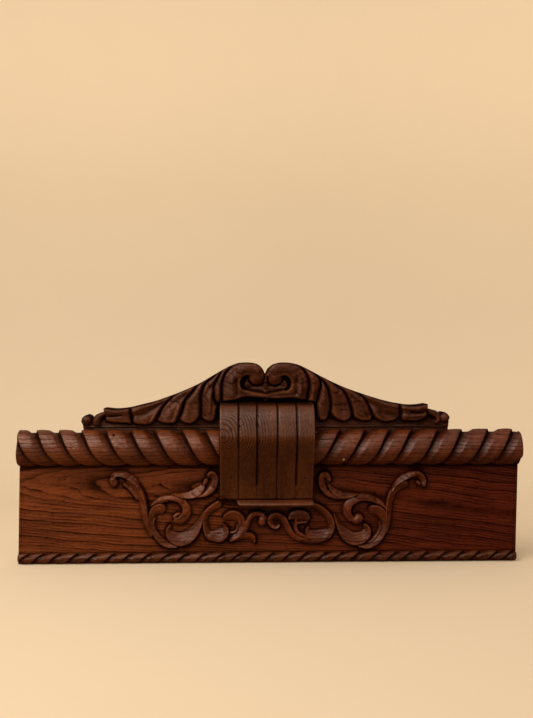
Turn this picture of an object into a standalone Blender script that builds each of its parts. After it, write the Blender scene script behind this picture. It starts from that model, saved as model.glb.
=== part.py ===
"""Carved oak furniture pediment (cornice cresting), modelled as an assembly.

Frieze board, carved crest board, two lengths of rope moulding, a small rope
bead, a fluted console corbel with its foot fillet, four applied scrolls, and
the battens, screws, dowels and brads that hold them together.

Frame: origin at the middle of the bottom edge of the frieze board, +X to the
right seen from the front, +Y to the back, +Z up.  The carved side faces -Y.
Dimensions below are in millimetres; the scene is in metres.
"""

import math

import bmesh
import bpy
from mathutils import Matrix, Vector

MM = 0.001

# ---------------------------------------------------------------- dimensions
GAP = 0.3                      # clearance left between touching pieces
OVERCUT = 5.0                  # how far a hole cutter runs out past a back face

# frieze board
BOARD_T = 20.0
FRONT = -BOARD_T / 2           # y of its front face
BACK = BOARD_T / 2             # y of its back face
FACE = FRONT - GAP             # y where the ropes and scrolls are bedded
FRIEZE_TOP = 176.0             # joint between frieze board and crest board
FRIEZE_LEFT_TOP, FRIEZE_LEFT_FOOT = -340.0, -342.5
FRIEZE_RIGHT_TOP, FRIEZE_RIGHT_FOOT = 340.0, 335.5

# crest board
CREST_FOOT_Z = FRIEZE_TOP + GAP
CREST_FOOT_X = (-254.5, 242.0)
CREST_GROUND = -7.0            # y of the crest's cut-back ground
CREST_FACE = -17.5             # y of the uncarved face of the leaves
BAND_TOP = 187.5               # the plain band under the leaves ends here
CREST_MID_X = -8.0             # middle of the crest, over the corbel
VALLEY_LIFT = 0.9              # valley centre line in front of the crest face
VALLEY_STEP = 12.0
VOLUTE_OFFSETS = {"left": -13.0, "right": 13.6}    # x from the crest's middle
VOLUTE_Z = 253.2
VOLUTE_SINK = 3.0              # volute centre behind the crest face
VOLUTE_RADII = (11.2, 8.0, 11.6)
CARVING_REACH = 20.0           # how far the box cutters stand in front of the crest
BOX_CUT_X = (-300.0, 300.0)    # x reach of cutters wider than the carving

# corbel: front profile, (distance proud of the frieze face, height)
CORBEL_PROFILE = [
    (20.0, 218.0), (29.5, 216.6), (37.5, 212.5), (44.0, 205.5), (48.8, 196.5),
    (51.5, 186.0), (52.0, 175.0), (50.2, 165.0), (46.0, 155.0), (40.0, 145.0),
    (33.5, 134.5), (27.5, 123.5), (22.5, 112.5), (18.6, 102.0), (16.2, 94.0),
    (15.2, 87.8),
]
CORBEL_X = (-70.0, 55.0)
CORBEL_TOP_Z = CORBEL_PROFILE[0][1]
CORBEL_FOOT_Z = CORBEL_PROFILE[-1][1]
CORBEL_SEAT_MARGIN = 1.0
FLUTES = [(-45.5, 1.3), (-21.0, 2.4), (5.5, 1.3), (31.0, 2.4)]    # (x, depth)
FLUTE_LIFT = 0.35              # flute centre line in front of the corbel surface
FLUTE_STEP = 14.0
FLUTE_TOP_BACK = 14.0          # the cutter runs back over the corbel's top
FLUTE_FOOT_BACK, FLUTE_FOOT_DROP = 1.0, 9.0        # and down past its foot

# foot fillet
FILLET_X = (-48.5, 55.5)
FILLET_FOOT_Z, FILLET_TOP_Z = 77.6, 87.4
FILLET_PROUD = 23.0
BREAK_PIVOT = Vector((-46.5, -10.0, 82.0))
BREAK_TURN_Z, BREAK_TURN_Y = -9, 7                 # degrees

# upper rope: half-round, four strands
ROPE_R = 24.6                  # outer radius
ROPE_Z = 157.0
ROPE_STRANDS = 4
ROPE_LEAD = 124.0              # length of one full turn
ROPE_GROOVE = 3.2
ROPE_STEP, ROPE_AROUND = 6.2, 12
ROPE_TO_CORBEL = 2 * GAP
# side: (left end x, right end x, hand, x where the winding starts)
ROPES = {
    "left": (-340.5, CORBEL_X[0] - ROPE_TO_CORBEL, 1.0, -335.0),
    "right": (CORBEL_X[1] + ROPE_TO_CORBEL, 339.0, -1.0, 320.0),
}
LOBE_POWER = 0.6               # below 1 gives full strands and narrow grooves

# small rope bead along the foot: three strands
BEAD_R = 7.2
BEAD_Z = 7.6
BEAD_STRANDS = 3
BEAD_LEAD = 75.0
BEAD_GROOVE = 1.3
BEAD_STEP, BEAD_AROUND = 8.34, 6
BEAD_INSET = 0.5               # in from each end of the frieze board's foot

# applied scrolls
SCROLL_LIFT = 0.9              # centre line of the first strand in front of FACE
STRAND_STAGGER = 0.17          # each later strand stands this much further out
STRAND_MIN_R = 2.0
SCROLL_STEP = 7.0

# battens and their screws
BATTEN_W, BATTEN_T = 40.0, 18.0
BATTEN_FRONT = BACK + GAP
BATTEN_BACK = BATTEN_FRONT + BATTEN_T
SIDE_SCREWS = [(-8, 28), (8, 92), (-8, 150), (8, 187)]
# side: (middle x, top z, screws as (x from the middle, z))
BATTENS = {
    "left": (-215.0, 194.0, SIDE_SCREWS),
    "centre": (CREST_MID_X, 240.0, [(-8, 28), (8, 100), (-8, 160), (8, 222)]),
    "right": (200.0, 194.0, SIDE_SCREWS),
}
SCREW_LEN, SCREW_R, SCREW_HEAD_R = 30.0, 2.0, 4.2
SCREW_HEAD_Y = BATTEN_BACK - 0.4                   # heads lie just below the surface
SCREW_SIDES = 10
PILOT_END_Y = -3.4
SINK_R = SCREW_HEAD_R + 0.5
SINK_NECK, SINK_RIM = 2.9, 0.7                     # depths where the countersink tapers
SLOT_LENGTH, SLOT_WIDTH, SLOT_DEPTH = 12, 1.0, 1.0
SCREWS = [(side, f"batten_screw_{side}_{number}", middle + offset, z)
          for side, (middle, _, holes) in BATTENS.items()
          for number, (offset, z) in enumerate(holes, start=1)]

# dowels
DOWEL_R, DOWEL_LEN = 4.0, 38.0
DOWEL_Y = 1.0
DOWEL_SIDES = 12
DOWEL_END_ROOM = 1.0           # extra length of the hole
DOWELS_X = (-150.0, -60.0, 60.0, 150.0)

# brads
BRAD_R, BRAD_HEAD_R = 0.9, 1.5
BRAD_HEAD_T, BRAD_NECK = 1.2, 1.4                  # head edge and start of the shank
BRAD_POINT = 2.5               # length of the tapered point
BRAD_SIDES = 8
HEAD_ROOM = 1.7                # depth of the head recess behind the head
POINT_ROOM = 0.4               # depth of the hole past the point
HOLE_START_Y = -90.0           # in front of all the carving

# numbered brads: name -> (y of the heads, y of the points, [(x, z), ...])
BRAD_ROWS = {
    "rope_brad_left": (-27.0, 4.0, [(-308.0, 146.0), (-213.0, 168.0), (-112.0, 146.0)]),
    "rope_brad_right": (-27.0, 4.0, [(100.0, 146.0), (206.0, 168.0), (304.0, 146.0)]),
    "bead_brad": (-14.6, 2.0, [(x, BEAD_Z) for x in (-310.0, -160.0, -8.0, 150.0, 305.0)]),
    "scroll_brad_left_outer": (-13.2, 1.0, [(-163.6, 64.0), (-189.5, 113.0)]),
    "scroll_brad_left_inner": (-13.2, 1.0, [(-74.0, 37.0), (-31.0, 58.0)]),
    "scroll_brad_right_inner": (-13.2, 1.0, [(22.5, 48.5), (70.5, 38.0)]),
    "scroll_brad_right_outer": (-13.2, 1.0, [(154.9, 58.5), (186.0, 117.0)]),
}
# every brad and nail: name -> (x, z, y of the head, y of the point)
BRADS = {
    "corbel_nail_left": (-54.5, 118.0, -33.6, 4.0),
    "corbel_nail_right": (44.5, 117.0, -33.2, 4.0),
}
for row, (row_head, row_point, places) in BRAD_ROWS.items():
    for number, (x, z) in enumerate(places, start=1):
        BRADS[f"{row}_{number}"] = (x, z, row_head, row_point)

# outline of the crest above the joint, (x, z), left foot round to right foot
CREST_OUTLINE = [
    (-255, 187), (-257, 193.5), (-255, 198.5), (-250, 201.5), (-245.5, 200.5),
    (-242.5, 197.5), (-238, 200.5), (-233, 203.5), (-228, 204.5),
    (-226.5, 210), (-212, 210), (-202, 210), (-191.5, 211.5), (-175, 215.5),
    (-159, 219.5), (-143, 225), (-127, 231), (-110.5, 238), (-98.0, 244.1),
    (-78.5, 255.5), (-62, 265), (-54, 268.5), (-46, 271.5), (-38, 272.4),
    (-29.5, 272.4), (-21.5, 271), (-16, 267.5), (-12, 263), (-9, 256),
    (-5.5, 264), (-1, 267.5), (3, 270), (11, 272), (19, 272.4), (27, 271.5),
    (35.5, 269.5), (43.5, 266), (51.5, 262), (68, 253), (84.5, 245),
    (100.5, 238), (117, 232), (133.5, 226.5), (150, 221.5), (166, 217.5),
    (182.5, 214.5), (191, 214), (202, 214.5), (212, 215.5), (213, 209.5),
    (219.5, 208), (226, 206), (230.5, 202.5), (234, 204.5), (238, 204),
    (242, 201), (243.5, 196), (243, 188.5),
]

# valleys cut between the leaves of the crest, worked alike on both sides:
# runs of (distance from the middle, z, radius of the cut)
CREST_VALLEYS = [
    [(228, 216, 3), (226, 203, 4), (228, 180, 4)],
    [(190, 220, 2.5), (186, 203, 4.5), (181, 180, 5)],
    [(131, 226, 2.0), (141, 214, 4.0), (147, 203, 5), (156, 180, 6)],
    [(99, 240, 2.0), (109, 228, 4.5), (115, 213, 5), (123, 180, 6)],
    [(75, 253.4, 2.2), (86.3, 240.6, 4.4), (90.4, 228, 5), (92, 180, 5)],
    [(56, 263, 2.0), (60, 254, 4.5), (63, 241, 5), (60, 212, 5)],
    [(25, 253, 2.0), (34, 252, 4.0), (36, 240, 4.5), (27, 231, 4.5),
     (12, 228, 4.0)],
]

# carved strands of each scroll: strand -> [(x, z, radius), ...]
SCROLLS = {
    "left_outer": {
        "ring": [(-127, 59.5, 3), (-119, 64.5, 4), (-115.5, 71.5, 4.5),
                 (-116.5, 78, 4.5), (-122, 85, 4.5), (-131, 89, 4.5),
                 (-142, 90, 4.5), (-151, 87, 4.5), (-159.5, 81, 4.5),
                 (-164, 72, 4.5), (-163.5, 62, 4.5), (-160.5, 51.5, 4.5),
                 (-155.5, 40.5, 4.5), (-148.5, 32.5, 4.5), (-139, 26.5, 4.2),
                 (-128.5, 25, 4), (-117.5, 28, 3.8), (-108, 35, 3.6),
                 (-101.5, 44.5, 3)],
        "tab": [(-146, 74.5, 5), (-153, 74, 4.8), (-161, 67, 4)],
        "crescent": [(-92, 68.5, 2.2), (-97.5, 58, 4), (-102.5, 47, 6),
                     (-111, 38, 6.5), (-121.5, 34, 6.5), (-132.5, 35, 5),
                     (-137, 42, 3)],
        "leaf": [(-134, 93, 2), (-121, 92, 5), (-106.5, 94, 5), (-95, 104, 3)],
        "curl": [(-106, 90, 3), (-93, 92.5, 4), (-82.5, 99.5, 4.2),
                 (-77.5, 107.5, 4), (-77.5, 116, 3.6), (-83, 120, 3.2),
                 (-87, 115, 2.6)],
        "stem": [(-213, 110.5, 4.5), (-214, 118, 4), (-208.5, 121.5, 4),
                 (-199.5, 121.5, 5), (-191.5, 115.5, 6), (-184, 105.5, 5.5),
                 (-178.5, 94.5, 5.5), (-175, 82.5, 5), (-173, 68, 4.5),
                 (-169.5, 56, 4.2), (-162, 45, 3.5)],
    },
    "left_inner": {
        "band": [(-68, 79.5, 4.8), (-78.5, 76, 4.5), (-85.5, 70.5, 4.2),
                 (-88.5, 63, 3.8), (-89.5, 53.5, 4), (-87, 44, 5),
                 (-80, 37.8, 6.5), (-68, 36.5, 8), (-58, 38, 6)],
        "hook": [(-59, 58, 4), (-53, 63, 5.5), (-45, 62.5, 5.5),
                 (-42, 55, 4.2), (-43.5, 47, 4), (-49.5, 42, 4)],
        "stem": [(-60, 33, 4), (-50, 34.5, 3.6), (-41, 39.5, 3.6),
                 (-34.5, 49, 3.6), (-30, 60, 3.6), (-23.5, 66.5, 4),
                 (-16, 66.5, 4), (-11, 61.5, 4.2), (-13, 55.5, 4)],
        "leaf": [(-44, 37, 3.6), (-34, 35.5, 4.6), (-25, 38.5, 2.4)],
    },
    "right_inner": {
        "stem": [(4.5, 54.5, 3.6), (0.5, 59, 3.6), (3, 63.5, 3.6),
                 (9, 63.5, 4), (15.5, 59.5, 4), (20.5, 52, 4), (25, 44, 4),
                 (30.5, 36.5, 4.2), (39, 31.5, 4.6), (50.5, 28.5, 4.6),
                 (67, 29.5, 3)],
        "knob": [(27, 62.5, 4), (35, 65.5, 6), (44, 64.5, 6), (50, 59.5, 3.5)],
        "strip": [(44, 58, 3.5), (35.5, 54.5, 3.6), (33, 47.5, 3.6),
                  (36, 38, 4)],
        "band": [(58.5, 76, 4), (68.5, 71, 4.6), (75.5, 63.5, 4.6),
                 (79, 54, 4.6), (78.5, 45, 5), (71.5, 37.5, 5.6),
                 (62, 34.5, 6), (49, 35, 6)],
    },
    "right_outer": {
        "ring": [(117.5, 58, 4.5), (109, 58.5, 4.5), (103, 66, 4.5),
                 (103, 75.5, 4.5), (109, 84.5, 4.5), (120, 88.5, 4.5),
                 (131, 87.5, 4.3), (142, 83.5, 4.3), (150.5, 76.5, 4.4),
                 (154.5, 67, 4.4), (155, 57.5, 4.4), (153, 46.5, 4.4),
                 (148, 36, 4.4), (139.5, 28, 4.2), (129.5, 24, 4),
                 (119, 25.5, 4), (111, 30, 3)],
        "tab": [(135, 71.5, 5), (145, 71.5, 4.8), (153, 66, 3.6)],
        "crescent": [(86, 63.5, 2.2), (90, 52.5, 4), (95.5, 42, 5.6),
                     (104, 35, 6.4), (113.5, 32, 6.4), (123, 33.5, 5),
                     (128, 41, 3.2), (126.5, 46.5, 2.4)],
        "curl": [(74, 115, 2.6), (68, 118, 3), (66.5, 110, 3.6),
                 (70.5, 101, 4.2), (79, 94, 4.6), (90, 90.5, 4.6),
                 (104, 90.5, 4.2), (117, 91, 3)],
        "midleaf": [(76.5, 107, 2.2), (82, 100, 3.6), (90, 93, 3)],
        "stem": [(157, 62, 3), (160.5, 72, 3), (160.8, 81, 3.2),
                 (163, 90.5, 3.4), (169.5, 98.5, 3.8), (179, 103.5, 4.6)],
        "leaf": [(165, 93, 3), (172, 108, 4), (180.5, 114.5, 5),
                 (191, 118.5, 4.6), (200, 117.5, 4), (205.5, 111.5, 2.6)],
    },
}

FINISHES = {                   # name: (base colour, roughness, metallic)
    "oak_dark": ((0.060, 0.017, 0.004), 0.45, 0.0),
    "oak_plain": ((0.095, 0.042, 0.016), 0.60, 0.0),
    "iron": ((0.045, 0.038, 0.034), 0.55, 0.9),
}


# --------------------------------------------------------------- scene helpers
def clear_scene():
    for obj in list(bpy.data.objects):
        bpy.data.objects.remove(obj, do_unlink=True)


def new_collection(name):
    collection = bpy.data.collections.new(name)
    bpy.context.scene.collection.children.link(collection)
    return collection


clear_scene()
PARTS = new_collection("oak_pediment")
CUTTERS = new_collection("cutters")


def place(obj, collection):
    for owner in list(obj.users_collection):
        owner.objects.unlink(obj)
    collection.objects.link(obj)


def give_material(obj, finish):
    colour, roughness, metallic = FINISHES[finish]
    material = bpy.data.materials.new(obj.name + "_" + finish)
    material.use_nodes = True
    shader = material.node_tree.nodes["Principled BSDF"]
    shader.inputs["Base Color"].default_value = (*colour, 1.0)
    shader.inputs["Roughness"].default_value = roughness
    shader.inputs["Metallic"].default_value = metallic
    obj.data.materials.append(material)


def part(obj, finish):
    place(obj, PARTS)
    give_material(obj, finish)
    return obj


def tool(obj):
    """A cutter or a body to be merged: kept, but never rendered."""
    place(obj, CUTTERS)
    obj.hide_render = True
    obj.display_type = "WIRE"
    return obj


def boolean(obj, other, operation="DIFFERENCE"):
    modifier = obj.modifiers.new(operation.lower() + "_" + other.name, "BOOLEAN")
    modifier.operation = operation
    modifier.solver = "EXACT"
    modifier.object = other


def shift(x, y, z):
    return Matrix.Translation(Vector((x, y, z)) * MM)


def stretch(x, y, z):
    return Matrix.Diagonal((*(Vector((x, y, z)) * MM), 1.0))


# --------------------------------------------------------------- shape helpers
def linked(name, data):
    obj = bpy.data.objects.new(name, data)
    bpy.context.scene.collection.objects.link(obj)
    return obj


def from_bmesh(name, shape):
    bmesh.ops.recalc_face_normals(shape, faces=shape.faces)
    mesh = bpy.data.meshes.new(name)
    shape.to_mesh(mesh)
    shape.free()
    return linked(name, mesh)


def baked(obj):
    """Replace a curve, or a mesh with modifiers, by a welded plain mesh."""
    bpy.context.view_layer.update()
    name = obj.name
    matrix = obj.matrix_world.copy()
    depsgraph = bpy.context.evaluated_depsgraph_get()
    mesh = bpy.data.meshes.new_from_object(obj.evaluated_get(depsgraph))
    mesh.transform(matrix)
    bpy.data.objects.remove(obj, do_unlink=True)
    shape = bmesh.new()
    shape.from_mesh(mesh)
    bmesh.ops.remove_doubles(shape, verts=shape.verts, dist=1e-6)
    bpy.data.meshes.remove(mesh)
    return from_bmesh(name, shape)


def merged(name, pieces):
    """Several separate closed meshes as one cutter object."""
    shape = bmesh.new()
    for obj in pieces:
        shape.from_mesh(obj.data)
        bpy.data.objects.remove(obj, do_unlink=True)
    return tool(from_bmesh(name, shape))


def box(name, *spans):
    """A box from its (low, high) spans in x, y and z."""
    bpy.ops.mesh.primitive_cube_add(size=1.0)
    obj = bpy.context.active_object
    obj.name = name
    obj.data.name = name
    centre = [(low + high) / 2 for low, high in spans]
    size = [high - low for low, high in spans]
    obj.data.transform(shift(*centre) @ stretch(*size))
    return obj


def curve(name, dimensions, points):
    """A poly curve object through (x, y, z) points."""
    data = bpy.data.curves.new(name, "CURVE")
    data.dimensions = dimensions
    spline = data.splines.new("POLY")
    spline.points.add(len(points) - 1)
    for point, (x, y, z) in zip(spline.points, points):
        point.co = (x * MM, y * MM, z * MM, 1.0)
    return linked(name, data)


def plate(name, outline, y_front, y_back):
    """A flat outline in (x, z) with thickness between two y planes."""
    obj = curve(name, "2D", [(x, z, 0.0) for x, z in outline])
    obj.data.fill_mode = "BOTH"
    obj.data.extrude = (y_back - y_front) / 2 * MM
    obj.data.splines[0].use_cyclic_u = True
    obj.rotation_euler = (math.pi / 2, 0.0, 0.0)
    obj.location.y = (y_front + y_back) / 2 * MM
    return baked(obj)


def moulding(name, profile, x_left, x_right):
    """A (proud, z) profile carried along x, standing on the frieze face."""
    obj = plate(name, profile, -(x_right - x_left) / 2, (x_right - x_left) / 2)
    # the plate's thickness becomes x and its proud distance runs towards -y
    obj.data.transform(Matrix(((0.0, 1.0, 0.0, (x_left + x_right) / 2 * MM),
                               (-1.0, 0.0, 0.0, FRONT * MM),
                               (0.0, 0.0, 1.0, 0.0),
                               (0.0, 0.0, 0.0, 1.0))))
    return obj


def tube(name, points, bevel_resolution=1):
    """A tapering round strand through (x, y, z, radius) points."""
    obj = curve(name, "3D", [point[:3] for point in points])
    obj.data.bevel_depth = MM
    obj.data.bevel_resolution = bevel_resolution
    obj.data.use_fill_caps = True
    for point, (*_, radius) in zip(obj.data.splines[0].points, points):
        point.radius = radius
    return baked(obj)


def catmull_rom(before, start, end, after, t):
    return 0.5 * (2 * start + (end - before) * t
                  + (2 * before - 5 * start + 4 * end - after) * t * t
                  + (3 * start - before - 3 * end + after) * t ** 3)


def smooth_run(points, step):
    """Catmull-Rom run through the points, one sample about every step mm."""
    samples = []
    last = len(points) - 1
    for i in range(last):
        start, end = points[i], points[i + 1]
        before = points[max(i - 1, 0)]
        after = points[min(i + 2, last)]
        count = max(1, round(math.dist(start[:2], end[:2]) / step))
        for k in range(count):
            samples.append(tuple(catmull_rom(*values, k / count)
                                 for values in zip(before, start, end, after)))
    samples.append(tuple(points[last]))
    return samples


def cylinder(name, centre, length, radius, sides, turn=Matrix.Identity(4)):
    """A cylinder about its centre, upright unless turned."""
    shape = bmesh.new()
    bmesh.ops.create_cone(
        shape, cap_ends=True, segments=sides, radius1=radius * MM,
        radius2=radius * MM, depth=length * MM, matrix=shift(*centre) @ turn)
    return from_bmesh(name, shape)


def rod(name, x, z, y_front, y_back, radius, sides):
    """A cylinder lying along y, for holes."""
    return cylinder(name, (x, (y_front + y_back) / 2, z), y_back - y_front,
                    radius, sides, Matrix.Rotation(math.pi / 2, 4, "X"))


def turned(name, profile, x, z, steps):
    """A (radius, y) profile, front to back, turned about a line along y."""
    shape = bmesh.new()
    verts = [shape.verts.new((radius * MM, 0.0, y * MM))
             for radius, y in reversed(profile)]
    for start, end in zip(verts, verts[1:]):
        shape.edges.new((start, end))
    mesh = bpy.data.meshes.new(name)
    shape.to_mesh(mesh)
    shape.free()
    obj = linked(name, mesh)
    screw = obj.modifiers.new("turn", "SCREW")
    screw.axis = "Z"
    screw.steps = steps
    screw.render_steps = steps
    screw.use_merge_vertices = True
    screw.merge_threshold = 1e-5
    obj.matrix_world = shift(x, 0.0, z) @ Matrix.Rotation(-math.pi / 2, 4, "X")
    return obj


def rope(name, x_left, x_right, centre_z, radius, strands, lead, hand, groove,
         step, around, start_x):
    """Half-round rope with a flat back, strands winding along x."""
    shape = bmesh.new()
    count = max(2, round((x_right - x_left) / step))
    rings = []
    for i in range(count + 1):
        x = x_left + (x_right - x_left) * i / count
        ring = []
        for j in range(around + 1):
            angle = -math.pi / 2 + math.pi * j / around
            phase = strands * (angle / (2 * math.pi) + hand * (x - start_x) / lead)
            lobe = abs(math.sin(math.pi * phase))
            reach = radius - groove * (1.0 - lobe ** LOBE_POWER)
            ring.append(shape.verts.new(Vector((
                x, FACE - reach * math.cos(angle),
                centre_z + reach * math.sin(angle))) * MM))
        rings.append(ring)
    for ring, following in zip(rings, rings[1:]):
        for j in range(around + 1):
            k = (j + 1) % (around + 1)     # wraps round to close the flat back
            shape.faces.new((ring[j], ring[k], following[k], following[j]))
    shape.faces.new(rings[0])
    shape.faces.new(rings[-1])
    return from_bmesh(name, shape)


# ----------------------------------------------------------------------- holes
def brad_shank_holes(label):
    """One cutter with the clearance hole of every brad and nail."""
    return merged(label, [
        rod(name + "_hole", x, z, HOLE_START_Y, y_point + POINT_ROOM,
            BRAD_R + GAP, BRAD_SIDES)
        for name, (x, z, _, y_point) in BRADS.items()])


def sunk_holes(label, prefix):
    """Holes for the brads whose names start so, with room for sunk heads."""
    pieces = []
    for name, (x, z, y_head, y_point) in BRADS.items():
        if name.startswith(prefix):
            pieces.append(baked(turned(name + "_hole", [
                (0.0, HOLE_START_Y), (BRAD_HEAD_R + GAP, HOLE_START_Y),
                (BRAD_HEAD_R + GAP, y_head + HEAD_ROOM),
                (BRAD_R + GAP, y_head + HEAD_ROOM),
                (BRAD_R + GAP, y_point + POINT_ROOM),
                (0.0, y_point + POINT_ROOM)], x, z, BRAD_SIDES)))
    return merged(label, pieces)


def pilot_holes(label, in_crest):
    """Screw holes for the crest board or for the frieze board."""
    return merged(label, [
        rod(name + "_pilot", x, z, PILOT_END_Y, BACK + OVERCUT,
            SCREW_R + GAP, SCREW_SIDES)
        for _, name, x, z in SCREWS if (z > FRIEZE_TOP) == in_crest])


def make_dowel_holes():
    return merged("dowel_holes", [
        cylinder(f"dowel_hole_{i}", (x, DOWEL_Y, FRIEZE_TOP),
                 DOWEL_LEN + DOWEL_END_ROOM, DOWEL_R + GAP, DOWEL_SIDES)
        for i, x in enumerate(DOWELS_X, start=1)])


# ---------------------------------------------------------------------- pieces
def make_frieze():
    """The long flat board that carries everything."""
    frieze = part(plate("frieze_board", [
        (FRIEZE_LEFT_FOOT, 0.0), (FRIEZE_RIGHT_FOOT, 0.0),
        (FRIEZE_RIGHT_TOP, FRIEZE_TOP), (FRIEZE_LEFT_TOP, FRIEZE_TOP)],
        FRONT, BACK), "oak_dark")
    boolean(frieze, brad_shank_holes("frieze_brad_holes"))
    boolean(frieze, pilot_holes("frieze_screw_holes", in_crest=False))
    return frieze


def make_volute(side, offset):
    """A flattened ball on the face of the crest, beside its middle."""
    shape = bmesh.new()
    bmesh.ops.create_uvsphere(shape, u_segments=14, v_segments=8, radius=1.0)
    shape.transform(shift(CREST_MID_X + offset, CREST_FACE + VOLUTE_SINK, VOLUTE_Z)
                    @ stretch(*VOLUTE_RADII))
    return tool(from_bmesh(f"volute_{side}", shape))


def make_valleys():
    valleys = []
    for i, run in enumerate(CREST_VALLEYS, start=1):
        for side in (-1, 1):
            points = [(CREST_MID_X + side * offset, CREST_FACE - VALLEY_LIFT, z, radius)
                      for offset, z, radius in smooth_run(run, VALLEY_STEP)]
            valleys.append(tube(f"valley_{i}", points))
    return merged("crest_valleys", valleys)


def make_crest(dowel_holes):
    """Crest board: outline, cut-back ground, volutes and leaf valleys."""
    left, right = CREST_FOOT_X
    outline = [(left, CREST_FOOT_Z)] + CREST_OUTLINE + [(right, CREST_FOOT_Z)]
    crest = part(plate("crest_board", outline, CREST_FACE, BACK), "oak_dark")
    cut_y = (CREST_FACE - CARVING_REACH, CREST_GROUND)
    boolean(crest, tool(box("ground_band", BOX_CUT_X, cut_y, (160, BAND_TOP))))
    boolean(crest, tool(box(
        "corbel_seat",
        (CORBEL_X[0] - CORBEL_SEAT_MARGIN, CORBEL_X[1] + CORBEL_SEAT_MARGIN),
        cut_y, (BAND_TOP - 1.0, CORBEL_TOP_Z + CORBEL_SEAT_MARGIN))))
    for side, offset in VOLUTE_OFFSETS.items():
        boolean(crest, make_volute(side, offset), "UNION")
    boolean(crest, make_valleys())
    boolean(crest, dowel_holes)
    boolean(crest, pilot_holes("crest_screw_holes", in_crest=True))


def make_upper_ropes():
    """Two lengths either side of the corbel, winding in opposite hands."""
    for side, (x_left, x_right, hand, start_x) in ROPES.items():
        body = part(rope(
            f"upper_rope_{side}", x_left, x_right, ROPE_Z, ROPE_R,
            strands=ROPE_STRANDS, lead=ROPE_LEAD, hand=hand, groove=ROPE_GROOVE,
            step=ROPE_STEP, around=ROPE_AROUND, start_x=start_x), "oak_dark")
        boolean(body, sunk_holes(f"rope_{side}_holes", f"rope_brad_{side}"))


def make_bead():
    bead = part(rope(
        "lower_rope", FRIEZE_LEFT_FOOT + BEAD_INSET, FRIEZE_RIGHT_FOOT - BEAD_INSET,
        BEAD_Z, BEAD_R, strands=BEAD_STRANDS, lead=BEAD_LEAD, hand=-1.0,
        groove=BEAD_GROOVE, step=BEAD_STEP, around=BEAD_AROUND, start_x=0.0),
        "oak_dark")
    boolean(bead, sunk_holes("bead_holes", "bead_brad"))


def make_corbel():
    """Console profile with four flutes down its front."""
    profile = [(GAP, CORBEL_FOOT_Z), (GAP, CORBEL_TOP_Z)] + CORBEL_PROFILE
    corbel = part(moulding("corbel_block", profile, *CORBEL_X), "oak_dark")
    run = smooth_run(CORBEL_PROFILE, FLUTE_STEP)
    for i, (x, depth) in enumerate(FLUTES, start=1):
        radius = depth + FLUTE_LIFT
        points = [(x, FRONT - proud - FLUTE_LIFT, z, radius) for proud, z in run]
        _, top_y, top_z, _ = points[0]
        _, foot_y, foot_z, _ = points[-1]
        points.insert(0, (x, top_y + FLUTE_TOP_BACK, top_z + FLUTE_LIFT, radius))
        points.append((x, foot_y + FLUTE_FOOT_BACK, foot_z - FLUTE_FOOT_DROP, radius))
        boolean(corbel, tool(tube(f"flute_{i}", points, bevel_resolution=0)))
    boolean(corbel, sunk_holes("corbel_holes", "corbel_nail"))


def make_fillet():
    """Foot fillet under the corbel, its left end broken away."""
    fillet = part(moulding("corbel_foot_fillet", [
        (GAP, FILLET_FOOT_Z), (GAP, FILLET_TOP_Z),
        (FILLET_PROUD - 1.2, FILLET_TOP_Z),
        (FILLET_PROUD, FILLET_TOP_Z - 1.4),
        (FILLET_PROUD - 0.4, FILLET_TOP_Z - 4.2),
        (FILLET_PROUD - 3.0, FILLET_TOP_Z - 6.0),
        (FILLET_PROUD - 6.0, FILLET_FOOT_Z + 1.4),
        (FILLET_PROUD - 7.0, FILLET_FOOT_Z)], *FILLET_X), "oak_dark")
    split = box("fillet_break", (-62.0, BREAK_PIVOT.x), (-50.0, 0.0), (70.0, 95.0))
    split.data.transform(shift(*BREAK_PIVOT)
                         @ Matrix.Rotation(math.radians(BREAK_TURN_Z), 4, "Z")
                         @ Matrix.Rotation(math.radians(BREAK_TURN_Y), 4, "Y")
                         @ shift(*-BREAK_PIVOT))
    boolean(fillet, tool(split))


def make_scroll(label, strands, bed):
    """Tapering strands merged, then cut flat where they meet the frieze."""
    pieces = []
    for i, (strand, run) in enumerate(strands.items()):
        points = [(x, FACE - SCROLL_LIFT - STRAND_STAGGER * i, z,
                   max(radius, STRAND_MIN_R))
                  for x, z, radius in smooth_run(run, SCROLL_STEP)]
        pieces.append(tube(f"scroll_{label}_{strand}", points))
    body = pieces[0]
    body.name = f"scroll_{label}"
    part(body, "oak_dark")
    for piece in pieces[1:]:
        boolean(body, tool(piece), "UNION")
    boolean(body, bed)
    boolean(body, sunk_holes(f"scroll_{label}_holes", f"scroll_brad_{label}"))


def make_scrolls():
    bed = tool(box("scroll_bed", BOX_CUT_X, (FACE, FACE + 40), (-20, 160)))
    for label, strands in SCROLLS.items():
        make_scroll(label, strands, bed)


def make_batten(side, middle, top):
    """An upright strip across the joint at the back, with countersunk holes."""
    batten = part(box(f"back_batten_{side}",
                      (middle - BATTEN_W / 2, middle + BATTEN_W / 2),
                      (BATTEN_FRONT, BATTEN_BACK), (0.0, top)), "oak_plain")
    pieces = [
        baked(turned(name + "_sink", [
            (0.0, BACK - OVERCUT), (SCREW_R + GAP, BACK - OVERCUT),
            (SCREW_R + GAP, BATTEN_BACK - SINK_NECK),
            (SINK_R, BATTEN_BACK - SINK_RIM), (SINK_R, BATTEN_BACK + OVERCUT),
            (0.0, BATTEN_BACK + OVERCUT)], x, z, SCREW_SIDES))
        for screw_side, name, x, z in SCREWS if screw_side == side]
    boolean(batten, merged(f"batten_{side}_holes", pieces))


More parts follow.
